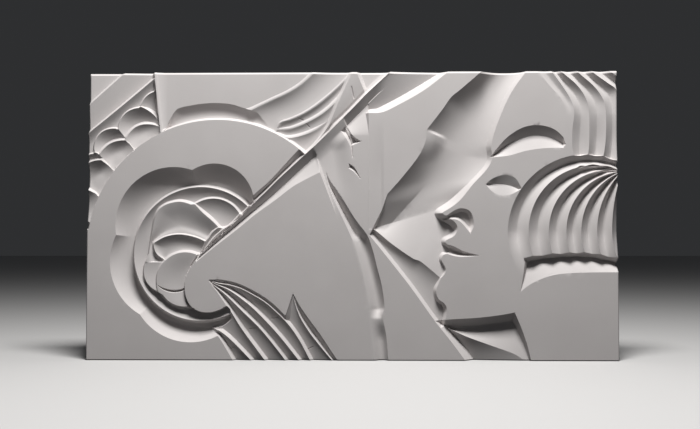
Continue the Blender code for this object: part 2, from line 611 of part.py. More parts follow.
def upper_hair(work):
    """Strands that run down from the top edge and straighten into upright flutes."""
    ridges = (
        curve((508, 345), (520, 331), (534, 314), (546, 300), (551, 285), (549, 262), (548, 235)),
        curve((527, 345), (536, 331), (548, 314), (557, 299), (561, 285), (558.5, 262), (559, 240),
              (563, 222)),
        curve((534, 345), (547, 331), (563, 317), (573, 303), (577.5, 288), (578, 262), (577, 240),
              (573, 222)),
        curve((553, 345), (565, 331), (582, 316), (592, 303), (596.5, 290), (597, 262), (595, 240),
              (590, 220)),
        curve((570, 345), (582, 331), (598, 319), (610, 309), (613, 290), (614, 262), (613, 240), (609, 216)),
        curve((590, 345), (603, 331), (616, 322), (626, 309), (631, 290), (632, 262), (631, 240), (627, 216)),
    )
    sides = [work.beside(ridge, (700, 280)) for ridge in ridges]
    swell = 0.6 + 0.4 * np.maximum(ramp(work.z, 280, 318), ramp(-work.z, -284, -248))
    for index in range(len(ridges) - 1):
        t = share(sides[index], -sides[index + 1])
        full = HAIR_STRAND_DEPTH * (0.35 if index == 0 else 1.0)
        keep = ramp(work.z, 280, 300) if index == 0 else 1.0
        depth = full * swell * keep * valley(t)
        work.lay([sides[index], -sides[index + 1], work.z - 215], depth, STEEP_DRAFT)


def lower_hair(work):
    """A fan of rounded locks, fluted, that gather at the right edge and end in a sunk step."""
    gather = (615.0, 216.0)
    drop = 68.0
    level = gather[1] - drop
    starts = (484.0, 508.0, 531.0, 551.0, 568.0, 586.0, 603.0, 618.0, 632.0)
    circles = []
    for start in starts:
        reach = max(gather[0] - start, 6.0)
        radius = (reach ** 2 + drop ** 2) / (2 * reach)
        circles.append((start + radius, level, radius))
    circles[0] = (575.0, 145.0, 91.0)
    below = np.maximum(level - work.z, 0.0)
    bulge = 0.006 * below ** 2
    sides = []
    for circle in circles:
        across, up, radius = circle
        upper = radius - np.hypot(work.x - across, work.z - up)
        lower = work.x - (across - radius) - bulge
        sides.append(np.where(work.z > up, upper, lower))
    fade = 1 - 0.45 * ramp(-work.z, -150, -118)
    cap = 240 - work.z
    bottom = curve((490, 72), (498, 78), (505, 84), (515, 90), (530, 96), (545, 99), (570, 100.5), (625, 101))
    above_bottom = work.beside(bottom, (560, 108))
    for index in range(len(sides) - 1):
        t = share(sides[index], -sides[index + 1])
        depth = HAIR_FLUTE_DEPTH * fade * valley(t)
        if index == 0:
            depth = depth * ramp(work.z, 92, 150)
        work.lay([sides[index], -sides[index + 1], cap, above_bottom], depth, STEEP_DRAFT)
    top = curve((496, 112), (502, 116), (520, 119.5), (545, 122), (575, 122.5), (597, 119), (620, 114))
    left = curve((505, 125), (502.5, 115), (503, 108), (498, 76))
    under_top = work.beside(top, (560, 108)) + 1.2 - 2.4 * work.depth / HAIR_FLUTE_DEPTH
    depth = HAIR_END_DEPTH * share(above_bottom, under_top - 5)
    work.lay([under_top, above_bottom, work.beside(left, (560, 108))], depth, WALL_DRAFT)


# Each group of forms with the part of the sheet that it can reach: left, low, right, high
FORMS = (
    (sky, (60, 200, 370, 1000)),
    (sun_cove, (80, 200, 260, 310)),
    (corner, (-1000, 150, 90, 1000)),
    (wing, (175, 220, 360, 1000)),
    (rod_margin, (170, 165, 260, 262)),
    (cloud, (15, 10, 215, 235)),
    (ring, (40, 30, 215, 210)),
    (rod_leaves, (120, 105, 195, 185)),
    (upper_wedge, (300, 270, 450, 1000)),
    (rod, (110, 100, 380, 1000)),
    (blades, (125, -1000, 310, 110)),
    (channel, (240, -1000, 360, 260)),
    (slot, (320, 140, 350, 290)),
    (small_leaf_cuts, (280, 200, 325, 285)),
    (head_pocket, (310, -1000, 520, 1000)),
    (head, (340, -1000, 620, 1000)),
    (brow_and_eye, (400, 180, 590, 330)),
    (nose_and_mouth, (360, 90, 470, 200)),
    (collar, (395, -1000, 530, 75)),
    (upper_hair, (500, 205, 1000, 1000)),
    (lower_hair, (470, 60, 1000, 250)),
)


def carve(x, z):
    """Depth of the carving and number of the form, at points given in the slab's own metres."""
    across = (x / PLAQUE_WIDTH + 0.5) * SHEET_WIDTH
    up = (z / PLAQUE_HEIGHT + 0.5) * SHEET_HEIGHT
    work = Carving(across, up)
    for form, box in FORMS:
        part, places = work.window(box)
        form(part)
        work.take_back(part, places)
    return work.depth * MM, work.form


def crossings(start, end, start_form, end_form):
    """Where the form changes along grid edges: the first change and the last, as shares of the edge."""
    results = []
    for from_point, to_point, own in ((start, end, start_form), (end, start, end_form)):
        low = np.zeros(len(from_point))
        high = np.ones(len(from_point))
        for _ in range(CROSSING_STEPS):
            middle = (low + high) / 2
            points = from_point + (to_point - from_point) * middle[:, None]
            same = carve(points[:, 0], points[:, 1])[1] == own
            low = np.where(same, middle, low)
            high = np.where(same, high, middle)
        results.append((low + high) / 2)
    first = np.clip(results[0], CROSSING_MARGIN, 1 - CROSSING_MARGIN)
    last = np.clip(1 - results[1], CROSSING_MARGIN, 1 - CROSSING_MARGIN)
    return first, last


def split_at_creases(loop, chords):
    """Cuts a polygon, a list of vertex numbers, along chords between its vertices."""
    polygons = [loop]
    for start, end in chords:
        for polygon in polygons:
            if start in polygon and end in polygon:
                first, second = sorted((polygon.index(start), polygon.index(end)))
                if second - first > 1 and not (first == 0 and second == len(polygon) - 1):
                    polygons.remove(polygon)
                    polygons.append(polygon[first:second + 1])
                    polygons.append(polygon[second:] + polygon[:first + 1])
                break
    return polygons


def relief_faces(width, height, cell):
    """The carved front as points and polygons, with every crest and foot line kept as an edge."""
    columns = max(2, round(width / cell))
    rows = max(2, round(height / cell))
    xs = np.linspace(-width / 2, width / 2, columns + 1)
    zs = np.linspace(-height / 2, height / 2, rows + 1)
    grid_x, grid_z = np.meshgrid(xs, zs, indexing="ij")
    points = np.column_stack([grid_x.ravel(), grid_z.ravel()])
    _, forms = carve(points[:, 0], points[:, 1])
    number = np.arange(len(points)).reshape(columns + 1, rows + 1)
    starts = np.concatenate([number[:-1, :].ravel(), number[:, :-1].ravel()])
    ends = np.concatenate([number[1:, :].ravel(), number[:, 1:].ravel()])
    crossed = forms[starts] != forms[ends]
    starts, ends = starts[crossed], ends[crossed]
    first, last = crossings(points[starts], points[ends], forms[starts], forms[ends])
    between = np.abs(last - first) > CROSSING_MARGIN
    first = np.where(between, first, (first + last) / 2)
    span = points[ends] - points[starts]
    at_first = points[starts] + span * first[:, None]
    at_last = points[starts] + span * last[:, None]
    middle = points[starts] + span * ((first + last) / 2)[:, None]
    middle_forms = carve(middle[:, 0], middle[:, 1])[1]
    extra = []
    on_edge = {}
    for index, (start, end) in enumerate(zip(starts.tolist(), ends.tolist())):
        places = [at_first[index]]
        pairs = [frozenset((forms[start], forms[end]))]
        if between[index]:
            places = [at_first[index], at_last[index]]
            pairs = [frozenset((forms[start], middle_forms[index])),
                     frozenset((middle_forms[index], forms[end]))]
        numbers = list(range(len(points) + len(extra), len(points) + len(extra) + len(places)))
        extra.extend(places)
        if between[index] and first[index] > last[index]:
            numbers.reverse()
            pairs.reverse()
        on_edge[(start, end)] = list(zip(numbers, pairs))
    polygons = []
    centres = []
    first_centre = len(points) + len(extra)
    all_points = np.vstack([points, np.array(extra).reshape(-1, 2)])
    for column in range(columns):
        for row in range(rows):
            corners = [int(number[column, row]), int(number[column + 1, row]),
                       int(number[column + 1, row + 1]), int(number[column, row + 1])]
            loop = []
            marks = []
            for side in range(4):
                start, end = corners[side], corners[(side + 1) % 4]
                loop.append(start)
                found = on_edge.get((start, end))
                if found is None:
                    found = list(reversed(on_edge.get((end, start), [])))
                for vertex, pair in found:
                    loop.append(vertex)
                    marks.append((vertex, pair))
            if not marks:
                polygons.append(loop)
                continue
            by_pair = {}
            for vertex, pair in marks:
                by_pair.setdefault(pair, []).append(vertex)
            if all(len(group) == 2 for group in by_pair.values()):
                polygons.extend(split_at_creases(loop, list(by_pair.values())))
                continue
            centre = first_centre + len(centres)
            centres.append(np.mean([all_points[vertex] for vertex, _ in marks], axis=0))
            for index, vertex in enumerate(loop):
                polygons.append([centre, vertex, loop[(index + 1) % len(loop)]])
    flat = np.vstack([all_points, np.array(centres).reshape(-1, 2)])
    depth, _ = carve(flat[:, 0], flat[:, 1])
    return flat, depth, polygons


def relief_sheet(width, height, thickness, cell):
    """A mesh of the carved front alone."""
    flat, depth, polygons = relief_faces(width, height, cell)
    front = bmesh.new()
    vertices = [front.verts.new((x, down - thickness, z)) for (x, z), down in zip(flat, depth)]
    for polygon in polygons:
        front.faces.new([vertices[index] for index in polygon])
    bmesh.ops.triangulate(front, faces=front.faces, ngon_method="BEAUTY")
    mesh = bpy.data.meshes.new("relief_sheet")
    front.to_mesh(mesh)
    front.free()
    return mesh


def simplified(mesh, triangles):
    """The same sheet with fewer triangles, which gather where the carving bends."""
    helper = bpy.data.objects.new("relief_sheet", mesh)
    bpy.context.scene.collection.objects.link(helper)
    decimate = helper.modifiers.new("fewer", "DECIMATE")
    decimate.ratio = min(1.0, triangles / len(mesh.polygons))
    bpy.context.view_layer.update()
    graph = bpy.context.evaluated_depsgraph_get()
    result = bpy.data.meshes.new_from_object(helper.evaluated_get(graph))
    bpy.data.objects.remove(helper)
    return result


def close_slab(mesh, width, height, thickness):
    """Draws the sheet's border back to the wall plane and closes it with a flat back."""
    slab = bmesh.new()
    slab.from_mesh(mesh)
    border = [edge for edge in slab.edges if edge.is_boundary]
    for vertex in {vertex for edge in border for vertex in edge.verts}:
        if abs(vertex.co.x) > width / 2 - 1e-5:
            vertex.co.x = math.copysign(width / 2, vertex.co.x)
        if abs(vertex.co.z) > height / 2 - 1e-5:
            vertex.co.z = math.copysign(height / 2, vertex.co.z)
    for vertex in slab.verts:
        vertex.co.y = max(vertex.co.y, -thickness)
    drawn = bmesh.ops.extrude_edge_only(slab, edges=border)["geom"]
    back_edges = [item for item in drawn if isinstance(item, bmesh.types.BMEdge) and item.is_boundary]
    sides = [item for item in drawn if isinstance(item, bmesh.types.BMFace)]
    for vertex in {vertex for edge in back_edges for vertex in edge.verts}:
        vertex.co.y = 0.0
    back = bmesh.ops.edgeloop_fill(slab, edges=back_edges)["faces"]
    flat_edges = {edge for face in sides + back for edge in face.edges
                  if all(other in sides or other in back for other in edge.link_faces)}
    flat_vertices = {vertex for edge in back_edges for vertex in edge.verts}
    bmesh.ops.dissolve_limit(slab, angle_limit=math.radians(1), edges=list(flat_edges),
                             verts=list(flat_vertices))
    bmesh.ops.triangulate(slab, faces=slab.faces)
    bmesh.ops.recalc_face_normals(slab, faces=slab.faces)
    slab.to_mesh(mesh)
    slab.free()


def plaster():
    """Matte warm white plaster."""
    material = bpy.data.materials.new("plaster")
    material.use_nodes = True
    shader = material.node_tree.nodes["Principled BSDF"]
    shader.inputs["Base Color"].default_value = PLASTER_COLOUR
    shader.inputs["Roughness"].default_value = PLASTER_ROUGHNESS
    shader.inputs["Metallic"].default_value = 0.0
    return material


def plaque():
    """The slab with its carving, as one closed solid."""
    sheet = relief_sheet(PLAQUE_WIDTH, PLAQUE_HEIGHT, PLAQUE_THICKNESS, CELL_SIZE * MM)
    mesh = simplified(sheet, SHEET_TRIANGLES)
    close_slab(mesh, PLAQUE_WIDTH, PLAQUE_HEIGHT, PLAQUE_THICKNESS)
    mesh.name = "plaque"
    mesh.materials.clear()
    mesh.materials.append(plaster())
    mesh.shade_smooth()
    mesh.set_sharp_from_angle(angle=math.radians(25))
    return bpy.data.objects.new("plaque", mesh)


def main():
    for old in list(bpy.data.objects):
        bpy.data.objects.remove(old)
    collection = bpy.data.collections.new("plaster_relief_plaque")
    bpy.context.scene.collection.children.link(collection)
    collection.objects.link(plaque())


main()
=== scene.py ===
"""Plaster wall plaque carved in low relief, dressed for a photograph.

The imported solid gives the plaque's size and place. The front is carved again here on a finer grid,
by the same forms as the solid's, with the small marks and the slight unevenness of the cast. Sheet
coordinates are millimetres from the lower left corner of the drawing: x to the right, z up.
"""
import math

import bmesh
import bpy
import numpy as np
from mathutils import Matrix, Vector, noise


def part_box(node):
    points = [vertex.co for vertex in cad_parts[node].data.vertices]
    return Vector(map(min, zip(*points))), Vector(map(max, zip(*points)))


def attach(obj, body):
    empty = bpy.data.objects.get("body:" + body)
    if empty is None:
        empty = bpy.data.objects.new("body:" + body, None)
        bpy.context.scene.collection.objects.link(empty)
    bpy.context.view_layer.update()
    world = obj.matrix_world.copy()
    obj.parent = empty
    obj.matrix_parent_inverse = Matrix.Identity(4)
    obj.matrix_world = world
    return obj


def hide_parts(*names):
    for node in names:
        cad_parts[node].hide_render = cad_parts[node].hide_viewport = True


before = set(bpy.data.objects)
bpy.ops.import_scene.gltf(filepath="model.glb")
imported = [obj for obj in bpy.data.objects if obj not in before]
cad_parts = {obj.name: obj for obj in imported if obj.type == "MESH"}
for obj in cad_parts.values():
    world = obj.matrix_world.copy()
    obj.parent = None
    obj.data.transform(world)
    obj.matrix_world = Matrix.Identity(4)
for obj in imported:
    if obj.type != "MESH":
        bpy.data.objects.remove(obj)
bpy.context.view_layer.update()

# The slab, in metres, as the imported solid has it
LOW_CORNER, HIGH_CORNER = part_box("plaque")
PLAQUE_WIDTH = HIGH_CORNER.x - LOW_CORNER.x
PLAQUE_HEIGHT = HIGH_CORNER.z - LOW_CORNER.z
PLAQUE_THICKNESS = HIGH_CORNER.y - LOW_CORNER.y
BACK = HIGH_CORNER.y

# The sheet that the carving is drawn on, in millimetres
MM = 0.001
SHEET_WIDTH = 610.0
SHEET_HEIGHT = 332.0

# Depths below the front plane, in millimetres
SKY_DEPTH = 3.4
SUN_COVE_DEPTH = 8.8
CORNER_DEPTH = 10.0
CORNER_STRIP_DEPTH = 5.0
CORNER_COVE_DEPTH = 5.5
SCALE_RIM_DEPTH = 1.6
SCALE_GOUGE_DEPTH = 8.0
FEATHER_CREST_DEPTH = 0.4
FEATHER_DROP = 5.6
WING_STRIP_DEPTH = 1.4
WING_ARCH_DEPTH = 7.6
CLOUD_COVE_DEPTH = 12.5
RING_CREST_DEPTH = 1.0
RING_DROP = 8.0
LOBE_CREST_DEPTH = 2.6
LOBE_DROP = 6.0
SMILE_DEPTH = 8.0
ROD_DROP = 6.5
ROD_HOLLOW_DEPTH = 5.0
WEDGE_DROP = 8.5
BLADE_CREST_DEPTH = 0.6
BLADE_DROP = 6.4
CHANNEL_DEPTH = 7.0
SLOT_DEPTH = 1.6
LEAF_DEPTH = 6.0
NOTCH_DEPTH = 5.0
DROP_DEPTH = 4.0
HEAD_POCKET_DEPTH = 13.0
FOLD_DEPTH = 2.0
FOLD_DROP = 4.0
COLLAR_DEPTH = 11.5
COLLAR_RIDGE_DEPTH = 3.5
COLLAR_DROP = 9.0
HAIR_FLUTE_DEPTH = 7.6
HAIR_STRAND_DEPTH = 5.4
HAIR_END_DEPTH = 11.0
FACE_CUT_DEPTH = 6.5

# Draft of the carved walls: millimetres of depth for each millimetre across
STEEP_DRAFT = 2.4
WALL_DRAFT = 1.7
BEVEL_DRAFT = 1.4
LEAF_DRAFT = 1.2

# Widths of the walls that keep one width however deep they stand, in millimetres
RIM_WIDTH = 3.3
LEAF_WIDTH = 3.8

# The fine mesh
CELL_SIZE = 1.25
SHEET_TRIANGLES = 184000
CURVE_STEPS = 8
CROSSING_STEPS = 9
CROSSING_MARGIN = 0.06
SMOOTH_ANGLE = math.radians(20)

# The worn arrises round the front, in millimetres, and the chamfer round the back, in metres
TOP_ARRIS = 2.2
SIDE_ARRIS = 1.0
BACK_CHAMFER = 0.0025

# Unevenness of the cast surface, in millimetres
WAVE_DEPTH = 0.16
WAVE_LENGTH = 46.0

# Unevenness of the back, in metres: its depth and the size of one sweep
SCREED_DEPTH = 0.0007
SWEEP_SIZE = (0.21, 0.035)
BACK_CELL = 0.012

# How near its border a vertex counts as part of it, in metres: on the sheet and on a drawn loop
BORDER_SLACK = 0.00001
LOOP_SLACK = 0.000001

# Fine lines scored with a point, in millimetres: a start, an end and the depth of each
SCORE_WIDTH = 1.8
SCORES = (
    ((242, 280), (250, 276), 0.9),
    ((252, 273), (257, 268), 0.9),
    ((186, 35), (199, 38), 1.1),
    ((212, 47), (224, 50), 1.1),
    ((255, 12), (262, 16), 1.1),
    ((165, 12), (173, 17), 1.1),
    ((183, 62), (187, 66), 0.8),
    ((305, 316), (308, 301), 1.4),
)

# The plaster: its colour and darker clouding, how many features a metre holds, and the bumps
PLASTER_COLOUR = (0.71, 0.678, 0.669, 1.0)
PLASTER_SHADE = (0.67, 0.638, 0.629, 1.0)
PLASTER_ROUGHNESS = (0.66, 0.80)
PLASTER_GLOSS = 0.35
CLOUDING_SCALE = 14.0
GRAIN_SCALE = 900.0
GRAIN_HEIGHT = 0.0004
PINHOLE_SCALE = 150.0
PINHOLE_SIZE = (0.02, 0.10)
PINHOLE_HEIGHT = 0.0003

# The floor, in metres
FLOOR_COLOUR = (0.62, 0.615, 0.61, 1.0)
FLOOR_ROUGHNESS = 0.85
FLOOR_SIZE = 30.0
FLOOR_GAP = 0.0002

# The light, in metres and watts, and the fill
KEY_PLACE = (0.07, -0.556, 1.26)
KEY_TARGET = (0.0, -0.04, 0.0)
KEY_SIZE = (0.43, 0.41)
KEY_POWER = 27.6
KEY_COLOUR = (1.0, 0.99, 0.98)
FILL_COLOUR = (0.92, 0.95, 1.0, 1.0)
FILL_STRENGTH = 0.03

# The camera, in metres and degrees, with its sensor and lens in millimetres
CAMERA_SENSOR = 36.0
CAMERA_LENS = 50.0
CAMERA_PLACE = (0.019, -1.1605, -0.0376)
CAMERA_PITCH = 1.98
CAMERA_YAW = 1.05


class Carving:
    """Depths at a set of points, and for each point a number that tells the forms apart."""

    def __init__(self, x, z):
        self.x = x
        self.z = z
        self.depth = np.zeros(x.shape)
        self.form = np.zeros(x.shape, dtype=np.int64)
        self.count = 0

    def window(self, box):
        """The points inside a box, as a carving of their own, with their places in this one."""
        left, low, right, high = box
        places = np.flatnonzero((self.x > left) & (self.x < right) & (self.z > low) & (self.z < high))
        part = Carving(self.x[places], self.z[places])
        part.depth = self.depth[places]
        part.form = self.form[places]
        part.count = self.count
        return part, places

    def take_back(self, part, places):
        """Puts a window's depths back."""
        self.depth[places] = part.depth
        self.form[places] = part.form
        self.count = part.count

    def lay(self, sides, depth, draft=WALL_DRAFT, branch=None, width=None):
        """Gives the region on the positive side of every distance in sides a new depth.

        Walls drawn in from the region's outline join the new depth to what was there. They have
        the given draft, or where a width is given they all have that width.
        """
        self.count += 1
        sides = np.array([np.broadcast_to(side, self.x.shape) for side in sides])
        nearest = np.argmin(sides, axis=0)
        inside = np.min(sides, axis=0)
        if width is None:
            reach = np.maximum(inside, 0.0) * draft
            new = np.clip(depth, self.depth - reach, self.depth + reach)
            wall = (depth < self.depth - reach) * 1 + (depth > self.depth + reach) * 2
        else:
            new = self.depth + (depth - self.depth) * unit(inside / width)
            wall = (inside < width) * 1
        own = self.count * 64 + (0 if branch is None else branch)
        of_wall = (self.form * 31 + self.count * 64 + wall * 8 + nearest) % 2147483647
        covered = inside > 0.0
        self.depth = np.where(covered, new, self.depth)
        self.form = np.where(covered, np.where(wall == 0, own, of_wall), self.form)

    def beside(self, path, toward):
        """Distance from a curve, positive on the side that holds the point toward."""
        distance, cross = nearest_on_path(self.x, self.z, path)
        _, wanted = nearest_on_path(np.array([float(toward[0])]), np.array([float(toward[1])]), path)
        return distance * np.sign(cross) * np.sign(wanted[0])

    def within_circle(self, circle):
        """Distance inside a circle, negative outside it."""
        across, up, radius = circle
        return radius - np.hypot(self.x - across, self.z - up)


def nearest_on_path(x, z, path):
    """Distance from a path whose ends run on straight, and the side, positive on its left."""
    best = np.full(x.shape, np.inf)
    cross = np.zeros(x.shape)
    last = len(path) - 2
    for index in range(last + 1):
        (ax, az), (bx, bz) = path[index], path[index + 1]
        ux, uz = bx - ax, bz - az
        px, pz = x - ax, z - az
        along = (px * ux + pz * uz) / (ux * ux + uz * uz)
        along = np.clip(along, -np.inf if index == 0 else 0.0, np.inf if index == last else 1.0)
        squared = (px - along * ux) ** 2 + (pz - along * uz) ** 2
        nearer = squared < best
        best = np.where(nearer, squared, best)
        cross = np.where(nearer, ux * pz - uz * px, cross)
    return np.sqrt(best), cross


def curve(*points):
    """A smooth path through a few points."""
    points = np.array(points, dtype=float)
    ends = np.vstack([2 * points[0] - points[1], points, 2 * points[-1] - points[-2]])
    path = []
    for index in range(1, len(ends) - 2):
        before, start, end, after = ends[index - 1:index + 3]
        for step in range(CURVE_STEPS):
            t = step / CURVE_STEPS
            path.append(0.5 * (2 * start + (end - before) * t
                               + (2 * before - 5 * start + 4 * end - after) * t ** 2
                               + (3 * start - before - 3 * end + after) * t ** 3))
    path.append(ends[-2])
    return path


def share(near, far):
    """How far a point has gone from one edge to another, 0 to 1."""
    near = np.maximum(near, 0.0)
    far = np.maximum(far, 0.0)
    return near / np.maximum(near + far, 1e-6)


def unit(value):
    """A value held between 0 and 1."""
    return np.clip(value, 0.0, 1.0)


def ramp(value, start, end):
    """0 before start and 1 after end, with soft ends."""
    t = unit((value - start) / (end - start))
    return t * t * (3 - 2 * t)


def hollow(t):
    """A cove's fall from 0 to 1: steep at first, then level."""
    return np.sin(unit(t) * math.pi / 2)


def dish(t, low):
    """A dished face's fall: steep at first, 1 at the share low of the way, and a little less beyond."""
    return 1 - np.abs(1 - t / low) ** 2.2


def valley(t):
    """A flute's depth across its width: 0 at both edges and 1 along a fairly crisp middle line."""
    rise = 2 * np.minimum(t, 1 - t)
    return 0.6 * rise + 0.4 * np.sin(rise * math.pi / 2)


# Main lines of the drawing, which several forms share
SUN = (150.0, 127.0, 149.5)
POST = [(76.5, 345.0), (77.0, 330.0), (84.0, 264.0)]
ROD_TOP = curve((362, 343), (345, 327), (323, 306.5), (309.5, 292.5), (290.5, 273.5), (273.5, 256.5),
                (262, 245.5), (251.5, 236), (235.5, 221), (221, 207.5), (208.5, 195), (194.5, 181.5),
                (178.5, 165.5), (166, 153.5), (152, 141), (140, 129.5), (128, 118.5))
ROD_FOOT = curve((345, 315), (324, 294.5), (312, 282.5), (298, 268), (280, 250.5), (270, 241), (260.5, 232.3),
                 (240, 213.5), (220, 195), (200, 178), (182.5, 163.8), (163, 147), (139, 125.5), (126, 114))
PLANE_EDGE = curve((268.5, 215.5), (255.5, 209), (237.5, 199), (218, 184), (194.5, 167), (177, 152.5),
                   (163, 141.5), (145, 127.5), (128, 113.5))
ROD_CORNER = [(258, 241), (262, 233), (269, 215)]
LEAF_LINE = curve((281, 281), (289, 269), (296, 259.5), (303, 247), (306, 232))
PLANE_END = curve((128, 117), (121, 107.5), (115.5, 97), (113.5, 86), (115, 73), (121, 62),
                  (131, 56), (143, 55), (154, 58), (163, 62), (171, 52), (184, 30))
RELIEF_EDGE = ROD_TOP[:-2] + PLANE_END


def sky(work):
    """The plane behind the sun, filleted up to the post at its left."""
    post_side = work.beside(POST, (120, 300))
    depth = SKY_DEPTH * hollow(post_side / (7 + (work.z - 262) * 0.12))
    limits = [-work.within_circle(SUN), post_side, work.beside(ROD_TOP, (200, 300))]
    work.lay(limits, depth, width=RIM_WIDTH)


def sun_cove(work):
    """The cove over the sun's rim."""
    outer = curve((84, 260), (89, 265), (93, 274), (99, 285), (105, 290.5), (120, 294), (135, 296),
                  (150, 296.5), (166, 295), (182, 290), (198, 284), (215, 270), (226, 258))
    above = work.beside(outer, (150, 285))
    outside = -work.within_circle(SUN)
    fade = 1 - 0.7 * ramp(work.x, 175, 226)
    fall = (SUN_COVE_DEPTH - SKY_DEPTH) * dish(share(above, outside), 0.62) * fade
    rim = unit(outside / RIM_WIDTH)
    work.lay([above, outside], (SKY_DEPTH + fall) * rim, STEEP_DRAFT, (rim < 1) * 1)


def corner(work):
    """The stepped planes and the overlapping scales left of the post."""
    left_of_post = work.beside(POST, (40, 300))
    outside = -work.within_circle(SUN)
    crest = curve((-12, 252), (0, 261), (38, 292), (76, 324), (100, 345))
    step = curve((-12, 286), (0, 295), (38, 329), (50, 340))
    below = work.beside(crest, (60, 280))
    cove = 1.2 + (CORNER_COVE_DEPTH - 1.2) * hollow(below / 12)
    work.lay([left_of_post, outside], cove, width=RIM_WIDTH)
    above_step = work.beside(step, (0, 330))
    strip = CORNER_STRIP_DEPTH + 4.0 * share(-above_step, -below)
    work.lay([left_of_post, -below], strip, width=LEAF_WIDTH)
    work.lay([left_of_post, above_step], CORNER_DEPTH - 0.03 * above_step, width=RIM_WIDTH)
    first_border = [(28, 275), (33, 269), (42, 257), (60, 235)]
    second_border = [(6, 247), (15, 234), (34, 214)]
    third_border = [(-10, 205), (0, 199), (16, 190)]
    scales = (
        ((84, 287, 26), POST, (60, 285)),
        ((60, 266, 27), POST, (60, 285)),
        ((66, 251, 25), POST, (60, 285)),
        ((29, 245, 24), first_border, (20, 250)),
        ((36, 231, 25.5), first_border, (20, 240)),
        ((9, 214, 26), second_border, (0, 220)),
        ((12, 206, 27), second_border, (0, 215)),
        ((-6, 178, 22), third_border, (0, 190)),
    )
    for circle, border, toward in scales:
        inside = work.within_circle(circle)
        rising = 0.4 + 0.6 * ramp(outside, 0, 20)
        depth = SCALE_RIM_DEPTH + SCALE_GOUGE_DEPTH * hollow(inside / 20) * rising
        work.lay([inside, work.beside(border, toward), outside, left_of_post], depth, BEVEL_DRAFT)


def feather(work, edge, toward, next_edge, limits, crest, drop, low=0.95):
    """A leaf of the wing: its edge stands up as a crisp crest and its face is dished to the next leaf."""
    inside = work.beside(edge, toward)
    ahead = -work.beside(next_edge, toward)
    depth = crest + drop * dish(share(inside, ahead), low)
    work.lay([inside, ahead + 8] + limits, depth, width=LEAF_WIDTH)


def wing(work):
    """Long leaves that fan down beside the rod, with a small fluted leaf at their foot."""
    outside = -work.within_circle(SUN)
    above_rod = work.beside(ROD_TOP, (200, 300))
    limits = [outside, above_rod]
    toward = (330, 250)
    first = curve((150, 283), (182, 289.5), (200, 297), (215, 304), (230, 311), (245, 320.5), (262, 336))
    second = curve((219, 262), (219, 267), (222, 275), (235, 280), (250, 287), (265, 297), (280, 309),
                   (292, 320), (308, 337))
    third = curve((216, 264), (222, 267.5), (235, 270), (250, 276), (265, 284), (278, 294), (296, 312))
    fourth = curve((222, 262), (230, 259.5), (240, 260.5), (255, 265), (275, 274.5), (292, 286))
    last = curve((244, 231), (256, 244.5), (266, 256), (276, 272.5), (286, 297), (300, 328), (305, 340))
    under_cove = curve((182, 290), (198, 284), (215, 270), (226, 260))
    cove = work.depth.copy()
    feather(work, first, toward, second, limits + [work.x - 181], FEATHER_CREST_DEPTH, FEATHER_DROP, 0.74)
    below_cove = [work.beside(under_cove, (200, 270)), outside, work.x - 181]
    work.lay(below_cove, np.maximum(cove, work.depth), STEEP_DRAFT)
    leaves = ((second, third, 0.8, 0), (third, fourth, 2.0, 1), (fourth, last, 2.6, 1))
    for edge, next_edge, sunk, less in leaves:
        feather(work, edge, toward, next_edge, limits, FEATHER_CREST_DEPTH + sunk, FEATHER_DROP - less)
    past_last = work.beside(last, toward)
    strip = WING_STRIP_DEPTH + 4.4 * share(past_last, above_rod) ** 1.6
    work.lay([past_last, above_rod * 0.65, outside], strip, width=LEAF_WIDTH)
    arch = [work.beside(curve((309, 338), (315, 322), (321, 308)), (330, 330)), above_rod * 0.65]
    work.lay(arch, WING_ARCH_DEPTH, width=LEAF_WIDTH)


def rod_margin(work):
    """The narrow sunk strip between the sun and the rod."""
    edge = curve((252, 248), (243, 240.5), (225, 221), (210, 205), (193, 190), (180, 177))
    above_rod = work.beside(ROD_TOP, (220, 225))
    depth = SKY_DEPTH + 2.6 * (1 - ramp(above_rod, 2, 8))
    work.lay([work.beside(edge, (240, 228)), above_rod, work.within_circle(SUN)], depth, WALL_DRAFT)


def cloud(work):
    """The scalloped cove round the ring."""
    lobes = (
        (147, 180, 46),
        (100, 155, 67),
        (97, 113, 70),
        (120.5, 90, 69.5),
    )
    outline = np.max([work.within_circle(lobe) for lobe in lobes], axis=0)
    lobe_number = np.argmax([work.within_circle(lobe) for lobe in lobes], axis=0)
    ring_side = -work.within_circle((131, 122, 79))
    depth = CLOUD_COVE_DEPTH * dish(share(outline, ring_side), 0.88)
    work.lay([outline, work.beside(RELIEF_EDGE, (100, 190))], depth, STEEP_DRAFT, lobe_number)


